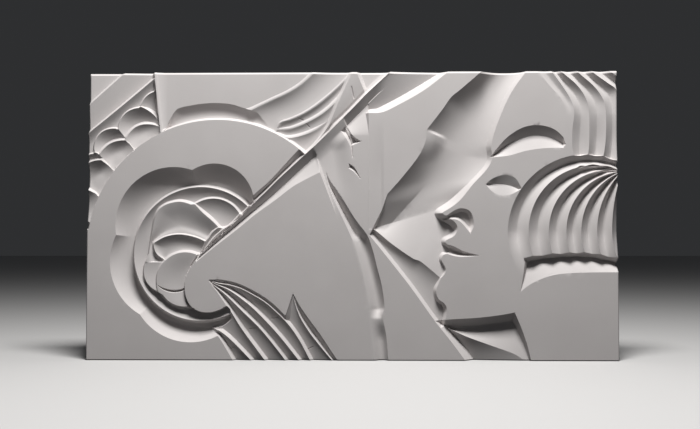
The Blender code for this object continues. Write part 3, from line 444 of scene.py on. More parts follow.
def ring(work):
    """The ring and the cloud lobes heaped inside it."""
    limit = work.beside(RELIEF_EDGE, (100, 190))
    inside = work.within_circle((131, 122, 80.5))
    depth = RING_CREST_DEPTH + RING_DROP * dish(unit(inside / 22), 0.85)
    work.lay([inside, limit], depth, STEEP_DRAFT)
    right_lobe = work.within_circle((145, 150, 38.5))
    depth = LOBE_CREST_DEPTH + LOBE_DROP * dish(unit(right_lobe / 30), 0.75)
    work.lay([right_lobe, limit], depth, WALL_DRAFT)
    left_lobe = work.within_circle((92, 103, 28.5))
    work.lay([left_lobe, limit], LOBE_CREST_DEPTH + 3.4 * hollow(left_lobe / 22), STEEP_DRAFT)
    top_edge = curve((68, 118), (72, 147), (75, 163), (80, 174), (88, 180.5), (97, 184), (107, 185.5),
                     (117, 183.5), (126, 179), (135, 172), (145, 163.5), (154, 154), (166, 140))
    middle_edge = curve((96, 112), (80, 120), (75, 133), (82, 139.5), (92, 144), (105, 146), (118, 144.5),
                        (132, 140), (146, 132))
    top = work.beside(top_edge, (110, 150))
    middle = work.beside(middle_edge, (105, 130))
    inner = work.within_circle((113.5, 92, 34.5))
    crest = LOBE_CREST_DEPTH - 0.6
    t = share(top, -middle)
    fall = LOBE_DROP * (ramp(t, -0.15, 0.8) - 0.25 * ramp(t, 0.78, 1.0))
    work.lay([top, -middle + 6, work.z - 112, limit], crest + fall, WALL_DRAFT)
    fall = LOBE_DROP * dish(share(middle, -inner), 0.72)
    work.lay([middle, work.z - 100, limit], crest + fall, WALL_DRAFT)
    work.lay([inner, limit], crest + 3.0 * ramp(inner, -4, 30), WALL_DRAFT)
    smile = [work.within_circle((101, 103, 26.2)), -work.within_circle((101, 116, 35.5)), limit]
    work.lay(smile, SMILE_DEPTH, STEEP_DRAFT)


def rod_leaves(work):
    """Two slim leaves curling off the lower end of the rod."""
    above_rod = work.beside(ROD_TOP, (150, 180))
    outer = curve((184, 176), (173, 166), (161, 155), (152, 153), (143, 148), (137, 140), (132, 130),
                  (127, 115))
    inner = curve((170, 160), (155, 150.5), (143, 139), (134, 126), (128, 114))
    toward = (160, 140)
    in_outer = work.beside(outer, toward)
    in_inner = work.beside(inner, toward)
    work.lay([in_outer, above_rod], 0.8 + 4.0 * share(in_outer, -in_inner), WALL_DRAFT)
    work.lay([in_inner, above_rod], 1.0 + 2.4 * ramp(in_inner, 0, 7), WALL_DRAFT)


def upper_wedge(work):
    """The long cove between the rod's upper end and the plane at its right."""
    crest = work.beside(ROD_TOP, (400, 300))
    foot = curve((318, 282), (328, 287), (350, 298), (370, 309), (405, 330), (420, 339))
    edge = curve((325, 284), (341, 285), (358.5, 293), (388.5, 310), (418, 332.5), (428, 341))
    above_foot = work.beside(foot, (350, 325))
    above_edge = work.beside(edge, (350, 325))
    fall = WEDGE_DROP * share(crest, above_foot) ** 0.8
    rise = WEDGE_DROP * share(above_edge, -above_foot)
    depth = np.where(above_foot > 0, fall, rise)
    work.lay([crest, above_edge, work.x - 310], depth, BEVEL_DRAFT, (above_foot > 0) * 1)


def rod(work):
    """The rod: a crisp edge above, a steep dark side below, and the bevel of the plane under it."""
    crest = work.beside(ROD_TOP, (300, 200))
    above_foot = work.beside(ROD_FOOT, (200, 200))
    above_edge = work.beside(PLANE_EDGE, (200, 200))
    past_corner = work.beside(ROD_CORNER, (300, 230))
    past_leaf = work.beside(LEAF_LINE, (320, 270))
    drop = ROD_DROP * (0.35 + 0.65 * ramp(work.x, 120, 205))
    fall = drop * share(crest, above_foot)
    past_notch = work.beside([(297, 275), (300, 264), (309, 256)], (320, 270))
    near_leaf = 1 - ramp(-past_leaf, 0, 22)
    soft = ROD_HOLLOW_DEPTH * hollow(crest / 18) * (1 - ramp(crest, 14, 80))
    soft = soft + (0.5 * fall * (1 - ramp(crest, 8, 20)) - soft) * near_leaf
    work.lay([crest, past_corner, 14 - past_notch, 80 - crest], soft, BEVEL_DRAFT)
    rise = drop * share(above_edge, -above_foot)
    depth = np.where(above_foot > 0, fall, rise) * (1 - ramp(past_corner, 0, 9))
    sides = [crest, above_edge, 9 - past_corner, work.x + work.z - 240]
    work.lay(sides, np.maximum(depth, work.depth), BEVEL_DRAFT, (above_foot > 0) * 1)
    rise = ROD_DROP * share(work.z - 258, -above_foot) ** 1.5
    past_peak = ramp(work.x, 325, 345)
    fall = fall * (1 - past_peak) + work.depth * past_peak
    depth = np.where(above_foot > 0, fall, rise)
    right_end = np.maximum(325 - work.x, np.minimum(above_foot, 345 - work.x))
    sides = [crest, past_notch, right_end, np.maximum(above_foot, work.z - 258)]
    work.lay(sides, depth, BEVEL_DRAFT, (above_foot > 0) * 1)


def blades(work):
    """The fan of long blades at the foot of the sheet, each with a crisp edge and a falling face."""
    outer = curve((133, 91), (141, 91.5), (152, 92.5), (166, 90.5), (180, 86), (195, 78.5), (210, 69),
                  (222, 58.5), (235, 45))
    spike_left = [(220, 30), (230, 52), (238.5, 78)]
    spike_right = curve((231, 87), (238.5, 76), (246, 62.5), (256, 48), (268, 32), (280, 14), (296, -10))
    under_outer = work.beside(outer, (180, 60))
    in_spike = np.minimum(work.beside(spike_left, (250, 30)), work.beside(spike_right, (240, 30)))
    pocket = np.maximum(under_outer, in_spike)
    left_bound = curve((180, -18), (169, 0), (157, 20), (149, 30.5), (143, 37), (152, 38), (160, 42),
                       (166, 52), (160, 65), (141, 91.5), (135, 98))
    right_of_bound = work.beside(left_bound, (220, 40))
    edges = (
        curve((143, 37), (150, 30), (157, 20.5), (169, 0), (176, -14)),
        curve((143, 37.5), (150, 35.5), (159, 30), (170, 20.5), (190, 0), (202, -14)),
        curve((139, 94), (150, 79), (165, 58.5), (180, 35), (206, 0), (216, -14)),
        curve((139, 94), (144, 88), (160, 75.5), (180, 56), (200, 36.5), (220, 12.5), (240, -14)),
        curve((139, 94), (147, 88), (165, 80), (185, 65.5), (200, 52), (222, 28.5), (245, 0), (256, -14)),
        curve((139, 94), (150, 88.5), (165, 86), (178, 82), (190, 76), (205, 67), (218, 56), (232, 42),
              (245, 24), (258, 0), (266, -14)),
        curve((236, 84), (239, 70), (245, 52), (255, 35), (266, 20.5), (283, 0), (296, -14)),
    )
    toward = (320, 60)
    sides = [work.beside(edge, toward) for edge in edges]
    sides.append(pocket)
    for index, side in enumerate(sides[:-1]):
        ahead = -sides[index + 1] if index < len(edges) - 1 else pocket
        depth = BLADE_CREST_DEPTH + BLADE_DROP * (1 - share(side, ahead)) ** 0.65
        if index == len(edges) - 1:
            depth = BLADE_CREST_DEPTH + BLADE_DROP
        work.lay([side, pocket * 0.5, right_of_bound], depth, WALL_DRAFT)


def channel(work):
    """The long shallow channel that bounds the big plane, with a stop near its foot."""
    left = curve((258, 241), (262.5, 232), (270, 216), (283, 188), (300, 152), (308, 133), (313.5, 115),
                 (318, 98), (322, 80), (325, 62), (326, 45), (329, 20), (332, -10))
    right = curve((260, 245), (264, 235), (274, 221), (284, 205), (303, 172), (313, 157), (323.5, 143),
                  (330, 125), (335, 105), (340, 85), (343, 62), (341, 50), (345, 28), (348, -10))
    from_left = work.beside(left, (340, 150))
    from_right = work.beside(right, (290, 150))
    t = share(from_left, from_right)
    fold = 0.36 + 0.64 * (1 - ramp(-work.z, -226, -200))
    deep = CHANNEL_DEPTH * (0.6 + 0.4 * ramp(-work.z, -220, -190))
    upper = deep * np.where(t < fold, t / fold, (1 - t) / np.maximum(1 - fold, 0.01))
    lower = CHANNEL_DEPTH * np.sin(math.pi * t ** 1.4)
    depth = upper + (lower - upper) * ramp(-work.z, -146, -136)
    stop = 1 - 0.75 * unit((58 - work.z) / 10) + 0.5 * ramp(-work.z, -47.5, -22)
    depth = np.maximum(depth * stop, work.depth)
    work.lay([from_left, from_right, 238 - work.z], depth, STEEP_DRAFT, (t > fold) * 1)


def slot(work):
    """The shallow upright band beside the channel."""
    across = work.x - 325
    depth = SLOT_DEPTH * (0.25 + 0.75 * ramp(across, 1, 14)) * (1 - ramp(across, 14, 18))
    depth = depth * ramp(-work.z, -281, -205)
    work.lay([across, 343 - work.x, 281 - work.z, work.z - 150], depth, WALL_DRAFT)


def small_leaf_cuts(work):
    """A leaf, a notch and a drop cut under the rod."""
    leaf_right = curve((290, 276), (297, 268), (303, 259), (306, 248), (307, 232))
    under_rod = work.beside(ROD_TOP, (300, 200)) - 8.5
    past_leaf = work.beside(LEAF_LINE, (320, 260))
    leaf = [past_leaf, work.beside(leaf_right, (285, 250)) * 2, work.z - 233, under_rod]
    work.lay(leaf, np.maximum(LEAF_DEPTH, work.depth), LEAF_DRAFT)
    notch_top = curve((299, 272), (304, 262), (309, 256), (318, 250.5))
    notch_bottom = [(300, 242), (306, 246.5), (318, 251.5)]
    notch_left = curve((294, 272), (299, 263), (303, 256), (306, 240))
    notch = [work.beside(notch_top, (304, 255)), work.beside(notch_bottom, (304, 255)),
             work.beside(notch_left, (310, 255)), under_rod]
    work.lay(notch, np.maximum(NOTCH_DEPTH, work.depth), WALL_DRAFT)
    drop_top = curve((302, 226), (309, 221), (316, 208))
    drop_bottom = curve((302, 220), (308, 216), (317, 206))
    drop = [work.beside(drop_top, (304, 215)) * 2, work.beside(drop_bottom, (312, 222)), work.x - 302,
            work.z - 209]
    work.lay(drop, DROP_DEPTH, LEAF_DRAFT)


# The face is drawn in its own frame: forward and up from the chin, in thirds of the face's height
FACE_CHIN = (404.0, 68.0)
FACE_LEAN = math.radians(19.0)
FACE_THIRD = 88.0


def face_point(forward, up):
    """A point of the sheet from the face's own frame, in thirds."""
    cosine, sine = math.cos(FACE_LEAN), math.sin(FACE_LEAN)
    across = FACE_CHIN[0] + FACE_THIRD * (up * sine - forward * cosine)
    return across, FACE_CHIN[1] + FACE_THIRD * (up * cosine + forward * sine)


def face_curve(*points):
    """A smooth path through points of the face's own frame."""
    return curve(*[face_point(*point) for point in points])


FACE_PROFILE = face_curve((-0.30, 3.9), (-0.10, 3.3), (0.02, 2.9), (0.06, 2.5), (0.05, 2.15), (-0.02, 1.93),
                          (0.10, 1.62), (0.27, 1.30), (0.40, 1.12), (0.36, 1.03), (0.15, 0.98),
                          (0.12, 0.90), (0.20, 0.80), (0.19, 0.72), (0.10, 0.665), (0.16, 0.60),
                          (0.15, 0.50), (0.05, 0.40), (0.08, 0.26), (0.10, 0.12), (0.03, 0.0),
                          (-0.10, -0.06), (-0.14, -0.25), (-0.18, -0.45), (-0.40, -0.9), (-0.8, -1.3))


def head_pocket(work):
    """The sunk ground in front of the face, with a fold below."""
    upper = curve((464, 342), (455, 332), (432, 312), (420, 302), (410, 288), (393, 266))
    lower = curve((392, 266), (390, 250), (381, 232), (362, 208), (346, 190))
    corner_edge = [(347, 192), (340, 172), (327, 146)]
    shoulder = curve((318, 157), (326, 147), (350, 117), (375, 85), (400, 50), (420, 25), (437, 2),
                     (445, -12))
    fold = curve((326, 149), (331, 150), (352, 133), (375, 117), (386, 112), (412, 90), (440, 66))
    valley_line = [(326, 150), (367, 162), (420, 178)]
    step = [(380, 271), (393, 266), (416, 257), (470, 236)]
    inside = work.beside(upper + lower[1:], (420, 230))
    right_of_corner = work.beside(corner_edge, (380, 150))
    above_shoulder = work.beside(shoulder, (420, 100)) + 2.4
    above_fold = work.beside(fold, (380, 150))
    above_valley = work.beside(valley_line, (370, 200))
    above_step = work.beside(step, (430, 300))
    before_face = -work.beside(FACE_PROFILE, (520, 180))
    deep = HEAD_POCKET_DEPTH
    cove = deep * dish(share(inside, before_face), 0.6)
    near_step = 0.5 * (1 - ramp(-work.z, -262, -225)) * (1 - ramp(inside, 8, 26))
    near_step = near_step * unit(-above_step / 3)
    plain = deep * unit(inside / 26)
    band = cove * (1 - near_step)
    band = band + (plain - band) * ramp(-work.z, -205, -180)
    rising = FOLD_DEPTH + np.maximum(plain - FOLD_DEPTH, 0.0) * share(above_fold, -above_valley)
    falling = FOLD_DEPTH + FOLD_DROP * dish(share(-above_fold, above_shoulder - 4), 0.8)
    depth = np.where(above_valley > 0, band, np.where(above_fold > 0, rising, falling))
    branch = (above_valley > 0) * 1 + (above_fold > 0) * 2
    work.lay([inside, right_of_corner, above_shoulder * 0.6], depth, STEEP_DRAFT, branch)


def head(work):
    """The head: a plane whose profile is bevelled down to the sunk ground."""
    work.lay([work.beside(FACE_PROFILE, (520, 180))], 0.0, WALL_DRAFT)


def brow_and_eye(work):
    """Brow, lid and eye as nested leaf-shaped cuts."""
    toward = (560, 330)
    top = face_curve((-0.02, 1.90), (-0.06, 2.05), (-0.16, 2.30), (-0.32, 2.50), (-0.52, 2.60),
                     (-0.75, 2.60), (-0.98, 2.46), (-1.10, 2.34))
    middle = face_curve((-0.02, 1.96), (-0.10, 2.08), (-0.22, 2.24), (-0.38, 2.39), (-0.56, 2.48),
                        (-0.76, 2.50), (-0.96, 2.455), (-1.12, 2.38))
    low = face_curve((0.02, 1.97), (-0.06, 2.00), (-0.26, 2.09), (-0.45, 2.22), (-0.64, 2.32),
                     (-0.82, 2.39), (-0.97, 2.44), (-1.12, 2.52))
    brow_top = -work.beside(top, toward)
    brow_middle = -work.beside(middle, toward)
    brow_low = work.beside(low, toward)
    falling = FACE_CUT_DEPTH * share(brow_top, -brow_middle)
    rising = FACE_CUT_DEPTH * share(brow_low, brow_middle)
    depth = np.where(brow_middle > 0, rising, falling)
    work.lay([brow_top, brow_low], depth, STEEP_DRAFT, (brow_middle > 0) * 1)
    lid_top = face_curve((-0.08, 1.60), (-0.16, 1.74), (-0.30, 1.84), (-0.44, 1.84), (-0.56, 1.74))
    lid_middle = face_curve((-0.06, 1.63), (-0.20, 1.68), (-0.34, 1.72), (-0.46, 1.73), (-0.58, 1.71))
    lid_low = face_curve((-0.06, 1.68), (-0.16, 1.60), (-0.30, 1.56), (-0.44, 1.61), (-0.58, 1.76))
    eye_top = -work.beside(lid_top, toward)
    eye_middle = -work.beside(lid_middle, toward)
    eye_low = work.beside(lid_low, toward)
    falling = 0.6 * FACE_CUT_DEPTH * share(eye_top, -eye_middle)
    rising = 0.6 * FACE_CUT_DEPTH * share(eye_low, eye_middle)
    depth = np.where(eye_middle > 0, rising, falling)
    work.lay([eye_top, eye_low], depth, STEEP_DRAFT, (eye_middle > 0) * 1)


def nose_and_mouth(work):
    """The wing of the nose and the parting of the lips."""
    wing_top = face_curve((0.30, 1.02), (0.14, 1.22), (-0.02, 1.24), (-0.12, 1.10), (-0.12, 0.98))
    wing_low = face_curve((0.30, 1.00), (0.10, 1.08), (-0.12, 0.97))
    centre = face_point(0.05, 1.12)
    in_face = work.beside(FACE_PROFILE, (520, 180))
    nostril = [work.beside(wing_top, centre), work.beside(wing_low, centre), in_face]
    work.lay(nostril, FACE_CUT_DEPTH, WALL_DRAFT)
    lip_top = face_curve((0.30, 0.68), (0.08, 0.74), (-0.12, 0.72), (-0.34, 0.74))
    lip_low = face_curve((0.30, 0.66), (0.08, 0.62), (-0.10, 0.64), (-0.34, 0.74))
    centre = face_point(0.0, 0.68)
    mouth = [work.beside(lip_top, centre), work.beside(lip_low, centre), in_face]
    work.lay(mouth, FACE_CUT_DEPTH, WALL_DRAFT)


def collar(work):
    """The pocket of the collar, with a ridge across it."""
    top = curve((408, 46), (418, 47), (450, 49), (475, 52), (494, 55.5))
    right = curve((487, 66), (491.5, 55), (498, 40), (505, 20), (510, 0), (512, -12))
    ridge = curve((412, 39), (424, 33), (440, 26), (465, 17), (490, 8), (503, 0), (520, -10))
    shoulder = curve((388, 61), (398, 48), (418, 23), (435, 0), (443, -14))
    under_top = work.beside(top, (460, 20))
    left_of_right = work.beside(right, (460, 20))
    above_ridge = work.beside(ridge, (480, 40))
    from_shoulder = work.beside(shoulder, (460, 20))
    rising = COLLAR_RIDGE_DEPTH + (COLLAR_DEPTH - COLLAR_RIDGE_DEPTH) * share(above_ridge, under_top - 12)
    falling = COLLAR_RIDGE_DEPTH + COLLAR_DROP * share(-above_ridge, from_shoulder - 5)
    depth = np.where(above_ridge > 0, rising, falling)
    work.lay([under_top, left_of_right * 1.8, from_shoulder], depth, LEAF_DRAFT, (above_ridge > 0) * 1)


def upper_hair(work):
    """Strands that run down from the top edge and straighten into upright flutes."""
    ridges = (
        curve((508, 345), (520, 331), (534, 314), (546, 300), (551, 285), (549, 262), (548, 235)),
        curve((527, 345), (536, 331), (548, 314), (557, 299), (561, 285), (558.5, 262), (559, 240),
              (563, 222)),
        curve((534, 345), (547, 331), (563, 317), (573, 303), (577.5, 288), (578, 262), (577, 240),
              (573, 222)),
        curve((553, 345), (565, 331), (582, 316), (592, 303), (596.5, 290), (597, 262), (595, 240),
              (590, 220)),
        curve((570, 345), (582, 331), (598, 319), (610, 309), (613, 290), (614, 262), (613, 240), (609, 216)),
        curve((590, 345), (603, 331), (616, 322), (626, 309), (631, 290), (632, 262), (631, 240), (627, 216)),
    )
    sides = [work.beside(ridge, (700, 280)) for ridge in ridges]
    swell = 0.6 + 0.4 * np.maximum(ramp(work.z, 280, 318), ramp(-work.z, -284, -248))
    for index in range(len(ridges) - 1):
        t = share(sides[index], -sides[index + 1])
        full = HAIR_STRAND_DEPTH * (0.35 if index == 0 else 1.0)
        keep = ramp(work.z, 280, 300) if index == 0 else 1.0
        depth = full * swell * keep * valley(t)
        work.lay([sides[index], -sides[index + 1], work.z - 215], depth, STEEP_DRAFT)


def lower_hair(work):
    """A fan of rounded locks, fluted, that gather at the right edge and end in a sunk step."""
    gather = (615.0, 216.0)
    drop = 68.0
    level = gather[1] - drop
    starts = (484.0, 508.0, 531.0, 551.0, 568.0, 586.0, 603.0, 618.0, 632.0)
    circles = []
    for start in starts:
        reach = max(gather[0] - start, 6.0)
        radius = (reach ** 2 + drop ** 2) / (2 * reach)
        circles.append((start + radius, level, radius))
    circles[0] = (575.0, 145.0, 91.0)
    below = np.maximum(level - work.z, 0.0)
    bulge = 0.006 * below ** 2
    sides = []
    for circle in circles:
        across, up, radius = circle
        lower = work.x - (across - radius) - bulge
        sides.append(np.where(work.z > up, work.within_circle(circle), lower))
    fade = 1 - 0.45 * ramp(-work.z, -150, -118)
    cap = 240 - work.z
    bottom = curve((490, 72), (498, 78), (505, 84), (515, 90), (530, 96), (545, 99), (570, 100.5), (625, 101))
    above_bottom = work.beside(bottom, (560, 108))
    for index in range(len(sides) - 1):
        t = share(sides[index], -sides[index + 1])
        depth = HAIR_FLUTE_DEPTH * fade * valley(t)
        if index == 0:
            depth = depth * ramp(work.z, 92, 150)
        work.lay([sides[index], -sides[index + 1], cap, above_bottom], depth, STEEP_DRAFT)
    top = curve((496, 112), (502, 116), (520, 119.5), (545, 122), (575, 122.5), (597, 119), (620, 114))
    left = curve((505, 125), (502.5, 115), (503, 108), (498, 76))
    under_top = work.beside(top, (560, 108)) + 1.2 - 2.4 * work.depth / HAIR_FLUTE_DEPTH
    depth = HAIR_END_DEPTH * share(above_bottom, under_top - 5)
    work.lay([under_top, above_bottom, work.beside(left, (560, 108))], depth, WALL_DRAFT)


def fine_marks(work):
    """Worn arrises round the sheet and the fine lines scored into the hand-finished cast."""
    from_side = np.minimum(work.x, SHEET_WIDTH - work.x)
    worn = [TOP_ARRIS - (SHEET_HEIGHT - work.z), SIDE_ARRIS - from_side, SIDE_ARRIS - work.z]
    wear = np.maximum(np.max(worn, axis=0), 0.0)
    work.depth = work.depth + wear
    work.form = np.where(wear > 0, work.form + 1, work.form)
    for start, end, deep in SCORES:
        middle = ((start[0] + end[0]) / 2, (start[1] + end[1]) / 2)
        reach = math.dist(start, end) / 2
        aside = work.beside([start, end], (start[0] - 5.0, start[1] + 20.0))
        along = unit(1 - (np.hypot(work.x - middle[0], work.z - middle[1]) / reach) ** 2)
        across = unit(1 - 2 * np.abs(aside) / SCORE_WIDTH)
        work.depth = work.depth + deep * across * np.sqrt(along)
        work.form = np.where(across * along > 0, work.form + np.where(aside > 0, 1, 2), work.form)


# Each group of forms with the part of the sheet that it can reach: left, low, right, high
FORMS = (
    (sky, (60, 200, 370, 1000)),
    (sun_cove, (80, 200, 260, 310)),
    (corner, (-1000, 150, 90, 1000)),
    (wing, (175, 220, 360, 1000)),
    (rod_margin, (170, 165, 260, 262)),
    (cloud, (15, 10, 215, 235)),
    (ring, (40, 30, 215, 210)),
    (rod_leaves, (120, 105, 195, 185)),
    (upper_wedge, (300, 270, 450, 1000)),
    (rod, (110, 100, 380, 1000)),
    (blades, (125, -1000, 310, 110)),
    (channel, (240, -1000, 360, 260)),
    (slot, (320, 140, 350, 290)),
    (small_leaf_cuts, (280, 200, 325, 285)),
    (head_pocket, (310, -1000, 520, 1000)),
    (head, (340, -1000, 620, 1000)),
    (brow_and_eye, (400, 180, 590, 330)),
    (nose_and_mouth, (360, 90, 470, 200)),
    (collar, (395, -1000, 530, 75)),
    (upper_hair, (500, 205, 1000, 1000)),
    (lower_hair, (470, 60, 1000, 250)),
    (fine_marks, (-1000, -1000, 2000, 2000)),
)


def carve(x, z):
    """Depth of the carving and number of the form, at points given in the slab's own metres."""
    across = (x / PLAQUE_WIDTH + 0.5) * SHEET_WIDTH
    up = (z / PLAQUE_HEIGHT + 0.5) * SHEET_HEIGHT
    work = Carving(across, up)
    for form, box in FORMS:
        part, places = work.window(box)
        form(part)
        work.take_back(part, places)
    return work.depth * MM, work.form


def crossings(start, end, start_form, end_form):
    """Where the form changes along grid edges: the first change and the last, as shares of the edge."""
    results = []
    for from_point, to_point, own in ((start, end, start_form), (end, start, end_form)):
        low = np.zeros(len(from_point))
        high = np.ones(len(from_point))
        for _ in range(CROSSING_STEPS):
            middle = (low + high) / 2
            points = from_point + (to_point - from_point) * middle[:, None]
            same = carve(points[:, 0], points[:, 1])[1] == own
            low = np.where(same, middle, low)
            high = np.where(same, high, middle)
        results.append((low + high) / 2)
    first = np.clip(results[0], CROSSING_MARGIN, 1 - CROSSING_MARGIN)
    last = np.clip(1 - results[1], CROSSING_MARGIN, 1 - CROSSING_MARGIN)
    return first, last


def split_at_creases(loop, chords):
    """Cuts a polygon, a list of vertex numbers, along chords between its vertices."""
    polygons = [loop]
    for start, end in chords:
        for polygon in polygons:
            if start in polygon and end in polygon:
                first, second = sorted((polygon.index(start), polygon.index(end)))
                if second - first > 1 and not (first == 0 and second == len(polygon) - 1):
                    polygons.remove(polygon)
                    polygons.append(polygon[first:second + 1])
                    polygons.append(polygon[second:] + polygon[:first + 1])
                break
    return polygons


def relief_faces(width, height, cell):
    """The carved front as points and polygons, with every crest and foot line kept as an edge."""
    columns = max(2, round(width / cell))
    rows = max(2, round(height / cell))
    xs = np.linspace(-width / 2, width / 2, columns + 1)
    zs = np.linspace(-height / 2, height / 2, rows + 1)
    grid_x, grid_z = np.meshgrid(xs, zs, indexing="ij")
    points = np.column_stack([grid_x.ravel(), grid_z.ravel()])
    _, forms = carve(points[:, 0], points[:, 1])
    number = np.arange(len(points)).reshape(columns + 1, rows + 1)
    starts = np.concatenate([number[:-1, :].ravel(), number[:, :-1].ravel()])
    ends = np.concatenate([number[1:, :].ravel(), number[:, 1:].ravel()])
    crossed = forms[starts] != forms[ends]
    starts, ends = starts[crossed], ends[crossed]
    first, last = crossings(points[starts], points[ends], forms[starts], forms[ends])
    between = np.abs(last - first) > CROSSING_MARGIN
    first = np.where(between, first, (first + last) / 2)
    span = points[ends] - points[starts]
    at_first = points[starts] + span * first[:, None]
    at_last = points[starts] + span * last[:, None]
    middle = points[starts] + span * ((first + last) / 2)[:, None]
    middle_forms = carve(middle[:, 0], middle[:, 1])[1]
    extra = []
    on_edge = {}
    for index, (start, end) in enumerate(zip(starts.tolist(), ends.tolist())):
        places = [at_first[index]]
        pairs = [frozenset((forms[start], forms[end]))]
        if between[index]:
            places = [at_first[index], at_last[index]]
            pairs = [frozenset((forms[start], middle_forms[index])),
                     frozenset((middle_forms[index], forms[end]))]
        numbers = list(range(len(points) + len(extra), len(points) + len(extra) + len(places)))
        extra.extend(places)
        if between[index] and first[index] > last[index]:
            numbers.reverse()
            pairs.reverse()
        on_edge[(start, end)] = list(zip(numbers, pairs))
    polygons = []
    centres = []
    first_centre = len(points) + len(extra)
    all_points = np.vstack([points, np.array(extra).reshape(-1, 2)])
    for column in range(columns):
        for row in range(rows):
            corners = [int(number[column, row]), int(number[column + 1, row]),
                       int(number[column + 1, row + 1]), int(number[column, row + 1])]
            loop = []
            marks = []
            for side in range(4):
                start, end = corners[side], corners[(side + 1) % 4]
                loop.append(start)
                found = on_edge.get((start, end))
                if found is None:
                    found = list(reversed(on_edge.get((end, start), [])))
                for vertex, pair in found:
                    loop.append(vertex)
                    marks.append((vertex, pair))
            if not marks:
                polygons.append(loop)
                continue
            by_pair = {}
            for vertex, pair in marks:
                by_pair.setdefault(pair, []).append(vertex)
            if all(len(group) == 2 for group in by_pair.values()):
                polygons.extend(split_at_creases(loop, list(by_pair.values())))
                continue
            centre = first_centre + len(centres)
            centres.append(np.mean([all_points[vertex] for vertex, _ in marks], axis=0))
            for index, vertex in enumerate(loop):
                polygons.append([centre, vertex, loop[(index + 1) % len(loop)]])
    flat = np.vstack([all_points, np.array(centres).reshape(-1, 2)])
    depth, _ = carve(flat[:, 0], flat[:, 1])
    return flat, depth, polygons


def relief_sheet():
    """A mesh of the carved front alone."""
    flat, depth, polygons = relief_faces(PLAQUE_WIDTH, PLAQUE_HEIGHT, CELL_SIZE * MM)
    waves = [noise.noise(Vector((x, 0.0, z)) / (WAVE_LENGTH * MM)) for x, z in flat]
    depth = depth + WAVE_DEPTH * MM * (1 + np.array(waves)) / 2
    front = bmesh.new()
    vertices = [front.verts.new((x, BACK + down - PLAQUE_THICKNESS, z)) for (x, z), down in zip(flat, depth)]
    for polygon in polygons:
        front.faces.new([vertices[index] for index in polygon])
    bmesh.ops.triangulate(front, faces=front.faces, ngon_method="BEAUTY")
    mesh = bpy.data.meshes.new("relief_sheet")
    front.to_mesh(mesh)
    front.free()
    return mesh


def simplified(mesh, triangles):
    """The same sheet with fewer triangles, which gather where the carving bends."""
    helper = bpy.data.objects.new("relief_sheet", mesh)
    bpy.context.scene.collection.objects.link(helper)
    decimate = helper.modifiers.new("fewer", "DECIMATE")
    decimate.ratio = min(1.0, triangles / len(mesh.polygons))
    bpy.context.view_layer.update()
    graph = bpy.context.evaluated_depsgraph_get()
    result = bpy.data.meshes.new_from_object(helper.evaluated_get(graph))
    bpy.data.objects.remove(helper)
    return result


def to_border(vertices, inset, slack):
    """Sets the vertices that stand at the slab's border in from it by an inset."""
    for vertex in vertices:
        if abs(vertex.co.x) > PLAQUE_WIDTH / 2 - inset - slack:
            vertex.co.x = math.copysign(PLAQUE_WIDTH / 2 - inset, vertex.co.x)
        if abs(vertex.co.z) > PLAQUE_HEIGHT / 2 - inset - slack:
            vertex.co.z = math.copysign(PLAQUE_HEIGHT / 2 - inset, vertex.co.z)


def drawn_back(slab, edges, level, inset):
    """Draws a loop of edges back to a level and in by an inset, and returns the new loop."""
    drawn = bmesh.ops.extrude_edge_only(slab, edges=edges)["geom"]
    loop = [item for item in drawn if isinstance(item, bmesh.types.BMEdge) and item.is_boundary]
    vertices = {vertex for edge in loop for vertex in edge.verts}
    for vertex in vertices:
        vertex.co.y = level
    to_border(vertices, inset, LOOP_SLACK)
    return loop


def close_slab(mesh):
    """Closes the carved sheet with plain sides and a screeded back with a chamfered edge."""
    slab = bmesh.new()
    slab.from_mesh(mesh)
    border = [edge for edge in slab.edges if edge.is_boundary]
    to_border({vertex for edge in border for vertex in edge.verts}, 0.0, BORDER_SLACK)
    loop = drawn_back(slab, border, BACK - BACK_CHAMFER, 0.0)
    loop = drawn_back(slab, loop, BACK, BACK_CHAMFER)
    back = bmesh.ops.edgeloop_fill(slab, edges=loop)["faces"]
    for axis, extent in ((Vector((1, 0, 0)), PLAQUE_WIDTH), (Vector((0, 0, 1)), PLAQUE_HEIGHT)):
        count = round(extent / BACK_CELL)
        for index in range(1, count):
            place = axis * (extent * (index / count - 0.5))
            edges = {edge for face in back for edge in face.edges}
            vertices = {vertex for face in back for vertex in face.verts}
            cut = bmesh.ops.bisect_plane(slab, geom=list(back) + list(edges) + list(vertices),
                                         plane_co=place, plane_no=axis)["geom"]
            back = [item for item in cut if isinstance(item, bmesh.types.BMFace)]
    inner_width = PLAQUE_WIDTH / 2 - BACK_CHAMFER - BORDER_SLACK
    inner_height = PLAQUE_HEIGHT / 2 - BACK_CHAMFER - BORDER_SLACK
    for vertex in {vertex for face in back for vertex in face.verts}:
        if abs(vertex.co.x) < inner_width and abs(vertex.co.z) < inner_height:
            sweep = noise.noise(Vector((vertex.co.x / SWEEP_SIZE[0], 0.0, vertex.co.z / SWEEP_SIZE[1])))
            vertex.co.y -= SCREED_DEPTH * (1 + sweep) / 2
    bmesh.ops.triangulate(slab, faces=[face for face in slab.faces if len(face.verts) > 3])
    bmesh.ops.recalc_face_normals(slab, faces=slab.faces)
    slab.to_mesh(mesh)
    slab.free()


def feed(tree, fed, **inputs):
    """Gives a shader node values or links for its inputs."""
    for name, value in inputs.items():
        socket = fed.inputs[name.replace("_", " ")]
        if isinstance(value, bpy.types.NodeSocket):
            tree.links.new(value, socket)
        else:
            socket.default_value = value
    return fed


def node(tree, kind, **inputs):
    """A new shader node with values or links for its inputs."""
    return feed(tree, tree.nodes.new(kind), **inputs)


